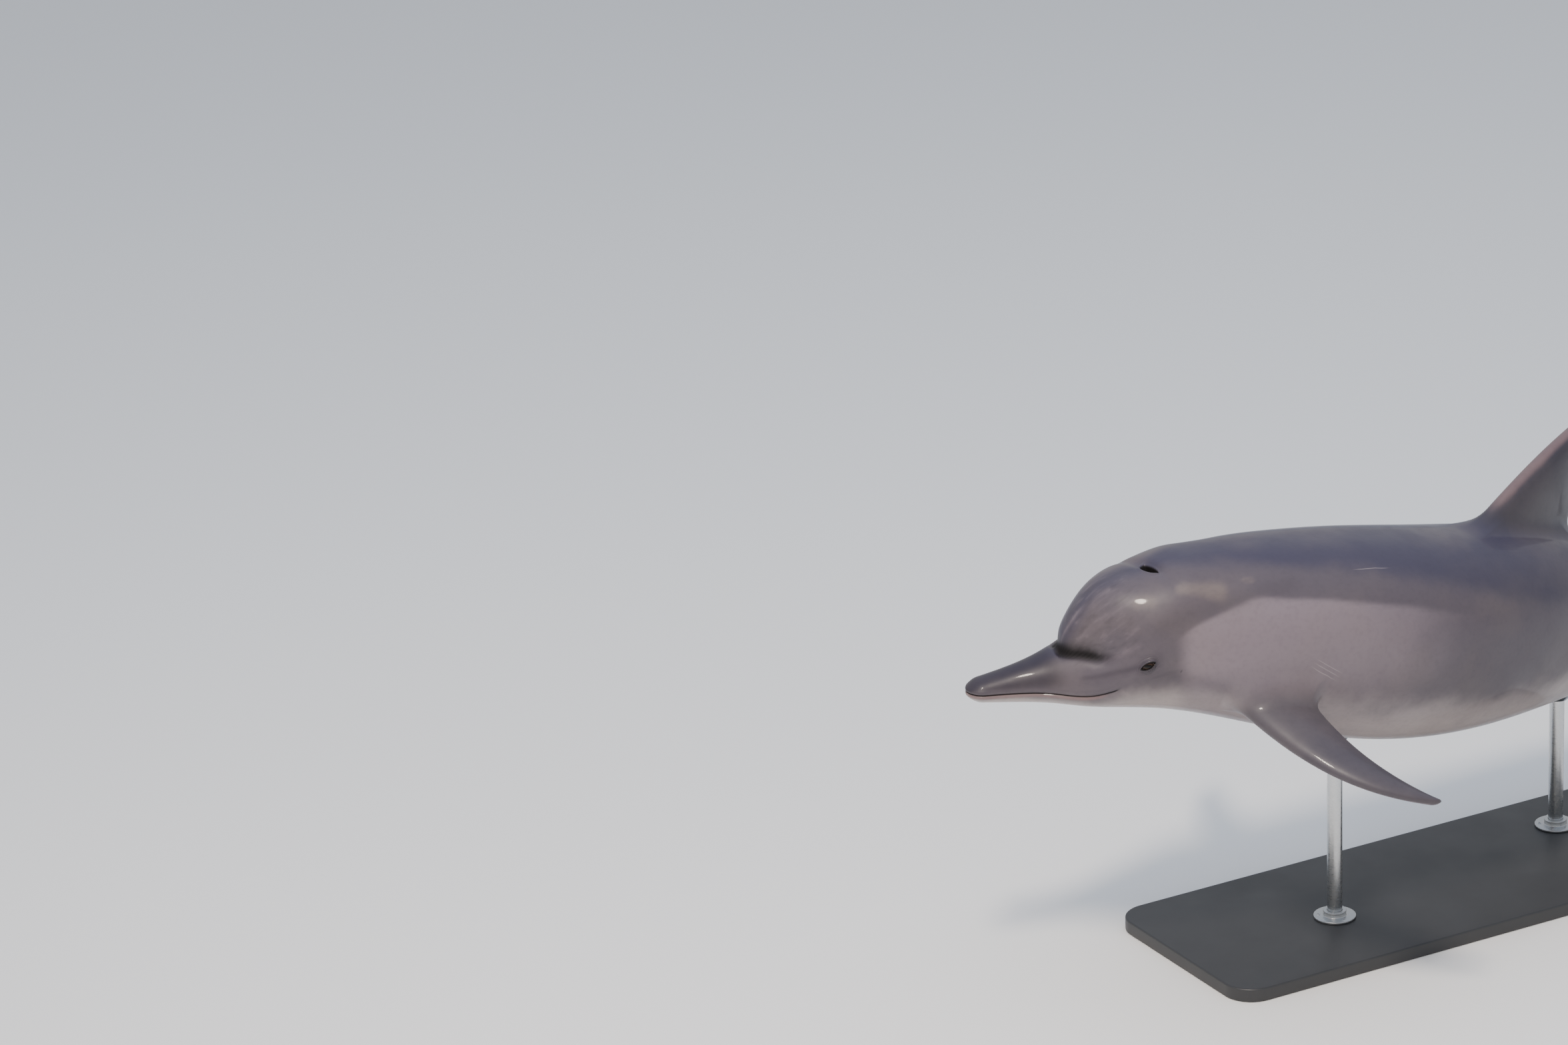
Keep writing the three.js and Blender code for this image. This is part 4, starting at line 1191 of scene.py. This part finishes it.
def living_eye(look):
    """A dolphin's eye: a dark brown iris round a wide, flattened pupil, a brown-pink white that shows
    only in the corners, all under a wet clear front that shines sharply."""
    material, tree, shader = new_material("wet_eyeball")
    gaze = add_node(tree, "ShaderNodeAttribute", attribute_name="gaze").outputs["Vector"]
    flat = add_node(tree, "ShaderNodeVectorMath", {0: gaze, 1: (1, 1, 0)}, operation="MULTIPLY")
    wide = add_node(tree, "ShaderNodeVectorMath", {0: gaze, 1: (0.62, 1.3, 0)}, operation="MULTIPLY")
    away, pupil = (
        add_node(tree, "ShaderNodeVectorMath", {0: node.outputs[0]}, operation="LENGTH").outputs["Value"]
        for node in (flat, wide)
    )
    fibres = clouds(tree, gaze, 1.2 * MM)
    iris, slot = 9.4 * MM, 4.2 * MM
    colour = layered(
        tree,
        look.iris,
        [
            (None, fibres, 1, -0.15, 0.2, 1, look.iris_light),
            (None, away, 1, iris - 2.4 * MM, iris, 0.85, look.pupil),
            (None, away, 1, iris, iris + 1.4 * MM, 1, look.white),
            (None, pupil, -1, -slot - 0.5 * MM, -slot, 1, look.pupil),
        ],
    )
    tree.links.new(colour, shader.inputs["Base Color"])
    shader.inputs["Roughness"].default_value = 0.03
    shader.inputs["IOR"].default_value = 1.36
    return material


def lacquered_board(look):
    """Fibreboard under sprayed satin lacquer: an even dark grey with a faint orange-peel in its shine."""
    material, tree, shader = new_material("satin_lacquered_board")
    shader.inputs["Base Color"].default_value = look.board
    place = add_node(tree, "ShaderNodeTexCoord").outputs["Object"]
    # Orange-peel is 1 to 2 mm across; drawn at 3 mm so that it shows.
    peel = clouds(tree, place, 3 * MM, 1)
    bump = {"Strength": 0.12, "Distance": 0.1 * MM, "Height": peel}
    bump = add_node(tree, "ShaderNodeBump", bump).outputs["Normal"]
    tree.links.new(bump, shader.inputs["Normal"])
    # Hands and dusters leave it duller in patches.
    rubbed = {"Value": clouds(tree, place, 120 * MM), "From Min": -0.2, "From Max": 0.2}
    rubbed.update({"To Min": 0.38, "To Max": 0.46})
    rubbed = add_node(tree, "ShaderNodeMapRange", rubbed).outputs[0]
    tree.links.new(rubbed, shader.inputs["Roughness"])
    return material


def brushed_steel(look):
    """Stainless steel, turned and then brushed round: a bright grey metal whose shine is drawn out
    along the rod by fine rings of scratches."""
    material, tree, shader = new_material("brushed_stainless_steel")
    shader.inputs["Base Color"].default_value = look.steel
    shader.inputs["Metallic"].default_value = 1.0
    place = add_node(tree, "ShaderNodeTexCoord").outputs["Object"]
    # Brushing lines are 0.1 mm apart; drawn at 0.8 mm so that they show.
    rings = add_node(tree, "ShaderNodeMapping", {"Vector": place, "Scale": (0.04, 0.04, 1)})
    lines = clouds(tree, rings.outputs["Vector"], 0.8 * MM, 2)
    rough = {"Value": lines, "From Min": -0.25, "From Max": 0.25, "To Min": 0.36, "To Max": 0.24}
    rough = add_node(tree, "ShaderNodeMapRange", rough).outputs[0]
    tree.links.new(rough, shader.inputs["Roughness"])
    bump = {"Strength": 0.15, "Distance": 0.05 * MM, "Height": lines}
    bump = add_node(tree, "ShaderNodeBump", bump).outputs["Normal"]
    tree.links.new(bump, shader.inputs["Normal"])
    return material


def pale_floor(look):
    """A matt painted studio floor, pale and even."""
    material, _, shader = new_material("matt_studio_paint")
    shader.inputs["Base Color"].default_value = look.floor
    shader.inputs["Roughness"].default_value = 0.75
    return material


# ---- Settings -----------------------------------------------------------------------------------
def colour_setting(name, description, code):
    """A colour that the user may change."""
    return FloatVectorProperty(
        name=name, description=description, subtype="COLOR", size=4, min=0, max=1, default=linear(code)
    )


class SkinSettings(bpy.types.PropertyGroup):
    cape: colour_setting("Back", "Colour of the dark cape over the back", "393645")
    flank: colour_setting("Flank", "Colour of the sides", "4d474e")
    belly: colour_setting("Belly", "Colour of the underside", "aaa09e")
    patch: colour_setting("Shoulder", "Colour of the pale shoulder blaze", "746a71")
    # Beige: the soft clouds' tint, and the painted sheen of sky on the wet neck and head.
    tan: colour_setting("Warmth", "Warm tinge of the soft clouds and the neck's spots", "776b64")
    lips: colour_setting("Lips", "Colour of the mouth's edge", "6f5b5c")
    fins: colour_setting("Fins", "Colour of the fins and flukes", "35333a")
    # Also paints the shadow in the crease under the melon.
    marks: colour_setting("Marks", "Colour of the beak, eye patch, bridle and stripes", "242029")
    scars: colour_setting("Scars", "Colour of the healed tooth marks", "a3999a")
    # Painted shade: near-black for openings and creases that would lie in shadow.
    hollow_shade_colour: colour_setting("Hollows", "Colour inside the mouth line, blowhole and sockets", "0b090a")
    roughness: FloatProperty(
        name="Roughness",
        description="Roughness of the skin's sheen",
        default=0.44,
        min=0.1,
        max=0.9,
        subtype="FACTOR",
    )


class EyeSettings(bpy.types.PropertyGroup):
    iris: colour_setting("Iris", "Colour of the iris", "1c120d")
    iris_light: colour_setting("Iris fibres", "Lighter colour in the iris", "38261b")
    white: colour_setting("White", "Colour of the eye's white", "5a4843")
    pupil: colour_setting("Pupil", "Colour of the pupil", "050505")


class StandSettings(bpy.types.PropertyGroup):
    board: colour_setting("Board", "Colour of the base's lacquer", "2e2f31")
    steel: colour_setting("Steel", "Colour of the rods, collars and cups", "c9cbcc")
    corner: FloatProperty(
        name="Corner", description="Corner radius of the base", default=60 * MM, unit="LENGTH"
    )
    edge: FloatProperty(
        name="Edge", description="Reach of the base's eased edges", default=4 * MM, unit="LENGTH"
    )


class StageSettings(bpy.types.PropertyGroup):
    floor: colour_setting("Floor", "Colour of the studio floor", "e4e3e0")
    horizon: colour_setting("Horizon", "Colour of the light from all round", "e6e4e0")
    zenith: colour_setting("Zenith", "Colour of the light from above", "cfdcf2")
    warm_light: colour_setting("Warm light", "Colour of the key and side lights", "fff1e2")
    air: FloatProperty(name="Air", description="Strength of the light from all round", default=0.8, min=0)
    key: FloatProperty(
        name="Key light", description="Power of the main light", default=300, min=0, unit="POWER"
    )
    lens: FloatProperty(
        name="Lens", description="Focal length of the camera", default=152, min=10, unit="CAMERA"
    )


# ---- Pieces -------------------------------------------------------------------------------------
def hand_over(piece, material, slot, *nodes):
    """Gives a piece its material and its body, and hides the solids it stands for; the slot is not used."""
    piece.data.materials.append(material)
    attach(piece, "root")
    if nodes:
        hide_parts(*nodes)


class DOLPHIN_OT_skin(bpy.types.Operator):
    """Weaves the closed skin with its fins, eyelids, mouth and blowhole"""

    bl_idname = "dolphin.skin"
    bl_label = "Skin"

    def execute(self, context):
        skin = weave_skin()
        hand_over(skin, wet_skin(context.scene.dolphin_skin), "skin", *FLESH_NODES)
        return {"FINISHED"}


class DOLPHIN_OT_eyes(bpy.types.Operator):
    """Sets the two eyeballs in their sockets"""

    bl_idname = "dolphin.eyes"
    bl_label = "Eyes"

    def execute(self, context):
        material = living_eye(context.scene.dolphin_eyes)
        for name, side in SIDES.items():
            hand_over(eyeball(f"eyeball_{name}", side), material, "eye", f"eye_{name}")
        return {"FINISHED"}


class DOLPHIN_OT_base(bpy.types.Operator):
    """Makes the flat base of the display stand"""

    bl_idname = "dolphin.base"
    bl_label = "Stand base"

    def execute(self, context):
        look = context.scene.dolphin_stand
        low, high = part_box("stand_base")
        board = slab("display_board", low, high, look.corner, look.edge)
        hand_over(board, lacquered_board(look), "stand_base", "stand_base")
        return {"FINISHED"}


class DOLPHIN_OT_rods(bpy.types.Operator):
    """Turns the two rods, their collars with screws, and the cups under the belly"""

    bl_idname = "dolphin.rods"
    bl_label = "Stand rods"

    def execute(self, context):
        steel = brushed_steel(context.scene.dolphin_stand)
        for which in ("front", "rear"):
            hand_over(rod(which), steel, "stand_steel", f"stand_rod_{which}")
            hand_over(collar(which), steel, "stand_steel", f"stand_collar_{which}")
            hand_over(cup(which), steel, "stand_steel", f"stand_cup_{which}")
            for screw in collar_screws(which):
                hand_over(screw, steel, "stand_steel")
        return {"FINISHED"}


CAMERA_AZIMUTH = math.radians(-34)
CAMERA_ELEVATION = math.radians(22)
CAMERA_DISTANCE = 12.8
SENSOR_WIDTH = 36
PICTURE = (2352, 1568)  # the picture's width and height in pixels
PIVOT_PIXEL = (1967, 937)  # where the pivot shows in it
GLINT = (0.1318, math.radians(-30))  # where the key light's reflection falls, station and angle
FLOOR_REACH = 150


def softbox(name, place, aim, size, power, colour, mirrored=False):
    """An oval soft light that looks from its place at its aim; only a mirrored one shows in gloss."""
    light = bpy.data.lights.new(name, "AREA")
    light.shape = "ELLIPSE"
    light.size, light.size_y = size
    light.energy = power
    light.color = colour[:3]
    lamp = bpy.data.objects.new(name, light)
    lamp.location = place
    lamp.visible_glossy = mirrored
    lamp.rotation_euler = (Vector(aim) - Vector(place)).to_track_quat("-Z", "Y").to_euler()
    bpy.context.scene.collection.objects.link(lamp)


def studio_air(look):
    """Even light from all round, cooler overhead: a smooth blend by the height of its direction."""
    world = bpy.data.worlds.new("studio_air")
    world.use_nodes = True
    tree = world.node_tree
    backdrop = tree.nodes["Background"]
    way = add_node(tree, "ShaderNodeTexCoord").outputs["Generated"]
    height = add_node(tree, "ShaderNodeSeparateXYZ", {0: way}).outputs["Z"]
    share = {"Value": height, "From Min": 0.0, "From Max": 0.9}
    share = add_node(tree, "ShaderNodeMapRange", share, interpolation_type="SMOOTHSTEP").outputs[0]
    mix = {0: share, 6: look.horizon, 7: look.zenith}
    mix = add_node(tree, "ShaderNodeMix", mix, data_type="RGBA").outputs[2]
    tree.links.new(mix, backdrop.inputs["Color"])
    backdrop.inputs["Strength"].default_value = look.air
    return world


def studio_camera(look):
    """A long lens that looks from the azimuth and elevation, set so that the pivot shows at its pixel."""
    flat = math.cos(CAMERA_ELEVATION)
    back_way = Vector(
        (math.sin(CAMERA_AZIMUTH) * flat, -math.cos(CAMERA_AZIMUTH) * flat, math.sin(CAMERA_ELEVATION))
    )
    right = Vector((math.cos(CAMERA_AZIMUTH), math.sin(CAMERA_AZIMUTH), 0))
    up = back_way.cross(right)
    metre = look.lens / SENSOR_WIDTH * PICTURE[0] / CAMERA_DISTANCE  # pixels to a metre at the pivot
    aside, below = (PIVOT_PIXEL[0] - PICTURE[0] / 2) / metre, (PIVOT_PIXEL[1] - PICTURE[1] / 2) / metre
    aim = PIVOT_PLACE - right * aside + up * below
    place = PIVOT_PLACE + back_way * CAMERA_DISTANCE
    lens = bpy.data.cameras.new("studio_camera")
    lens.sensor_width = SENSOR_WIDTH
    lens.lens = look.lens
    lens.clip_end = 3 * FLOOR_REACH
    camera = bpy.data.objects.new("studio_camera", lens)
    camera.location = place
    behind_lens = (place - aim).normalized()
    lens_right = up.cross(behind_lens).normalized()
    axes = Matrix((lens_right, behind_lens.cross(lens_right), behind_lens)).transposed()
    camera.rotation_euler = axes.to_euler()
    return camera


def mirror_way(place):
    """The place of the glint on the head, and the way from it to a light that it mirrors to a place."""
    station, angle = GLINT
    steps = [(0, 0), (1e-3, 0), (0, 1e-2)]
    spots = [bare_point(np.array(station + a), np.array(angle + b)) / BODY_LENGTH for a, b in steps]
    spot, behind, beside = (Vector(posed(point)) for point in spots)
    normal = (behind - spot).cross(beside - spot).normalized()
    view = (place - spot).normalized()
    return spot, 2 * normal.dot(view) * normal - view


class DOLPHIN_OT_stage(bpy.types.Operator):
    """Lays the floor, lights the model softly and sets the camera"""

    bl_idname = "dolphin.stage"
    bl_label = "Stage"

    def execute(self, context):
        look = context.scene.dolphin_stage
        corners = np.array([[-1, -1, 0], [1, -1, 0], [1, 1, 0], [-1, 1, 0]]) * FLOOR_REACH
        floor = make_mesh("studio_floor", corners, [np.array([[0, 1, 2, 3]])])
        floor.data.materials.append(pale_floor(look))
        context.scene.world = studio_air(look)
        camera = studio_camera(look)
        context.scene.collection.objects.link(camera)
        context.scene.camera = camera
        spot, key_way = mirror_way(camera.location)
        softbox("key_softbox", spot + key_way * 5, spot, (0.55, 1.1), look.key, look.warm_light, mirrored=True)
        softbox("overhead_softbox", (0.2, 0.6, 6), (0, 0, 0.5), (8, 8), look.key * 0.9, look.zenith)
        softbox("side_softbox", (-4.5, -4, 2.6), (-0.3, 0, 0.5), (3, 3), look.key * 0.3, look.warm_light)
        return {"FINISHED"}


OPERATORS = [DOLPHIN_OT_skin, DOLPHIN_OT_eyes, DOLPHIN_OT_base, DOLPHIN_OT_rods, DOLPHIN_OT_stage]


class DOLPHIN_PT_pieces(bpy.types.Panel):
    """Lists the makers of the model's pieces"""

    bl_label = "Dolphin"
    bl_idname = "DOLPHIN_PT_pieces"
    bl_space_type = "VIEW_3D"
    bl_region_type = "UI"
    bl_category = "Dolphin"

    def draw(self, context):
        for maker in OPERATORS:
            self.layout.operator(maker.bl_idname)


SETTINGS = {
    "dolphin_skin": SkinSettings,
    "dolphin_eyes": EyeSettings,
    "dolphin_stand": StandSettings,
    "dolphin_stage": StageSettings,
}
CLASSES = [*SETTINGS.values(), *OPERATORS, DOLPHIN_PT_pieces]


def register():
    for kind in CLASSES:
        bpy.utils.register_class(kind)
    for label, kind in SETTINGS.items():
        setattr(bpy.types.Scene, label, PointerProperty(type=kind))


def unregister():
    for label in SETTINGS:
        delattr(bpy.types.Scene, label)
    for kind in reversed(CLASSES):
        bpy.utils.unregister_class(kind)


def main():
    """Makes every piece and the stage."""
    register()
    bpy.ops.dolphin.skin()
    bpy.ops.dolphin.eyes()
    bpy.ops.dolphin.base()
    bpy.ops.dolphin.rods()
    bpy.ops.dolphin.stage()


if __name__ == "__main__":
    main()
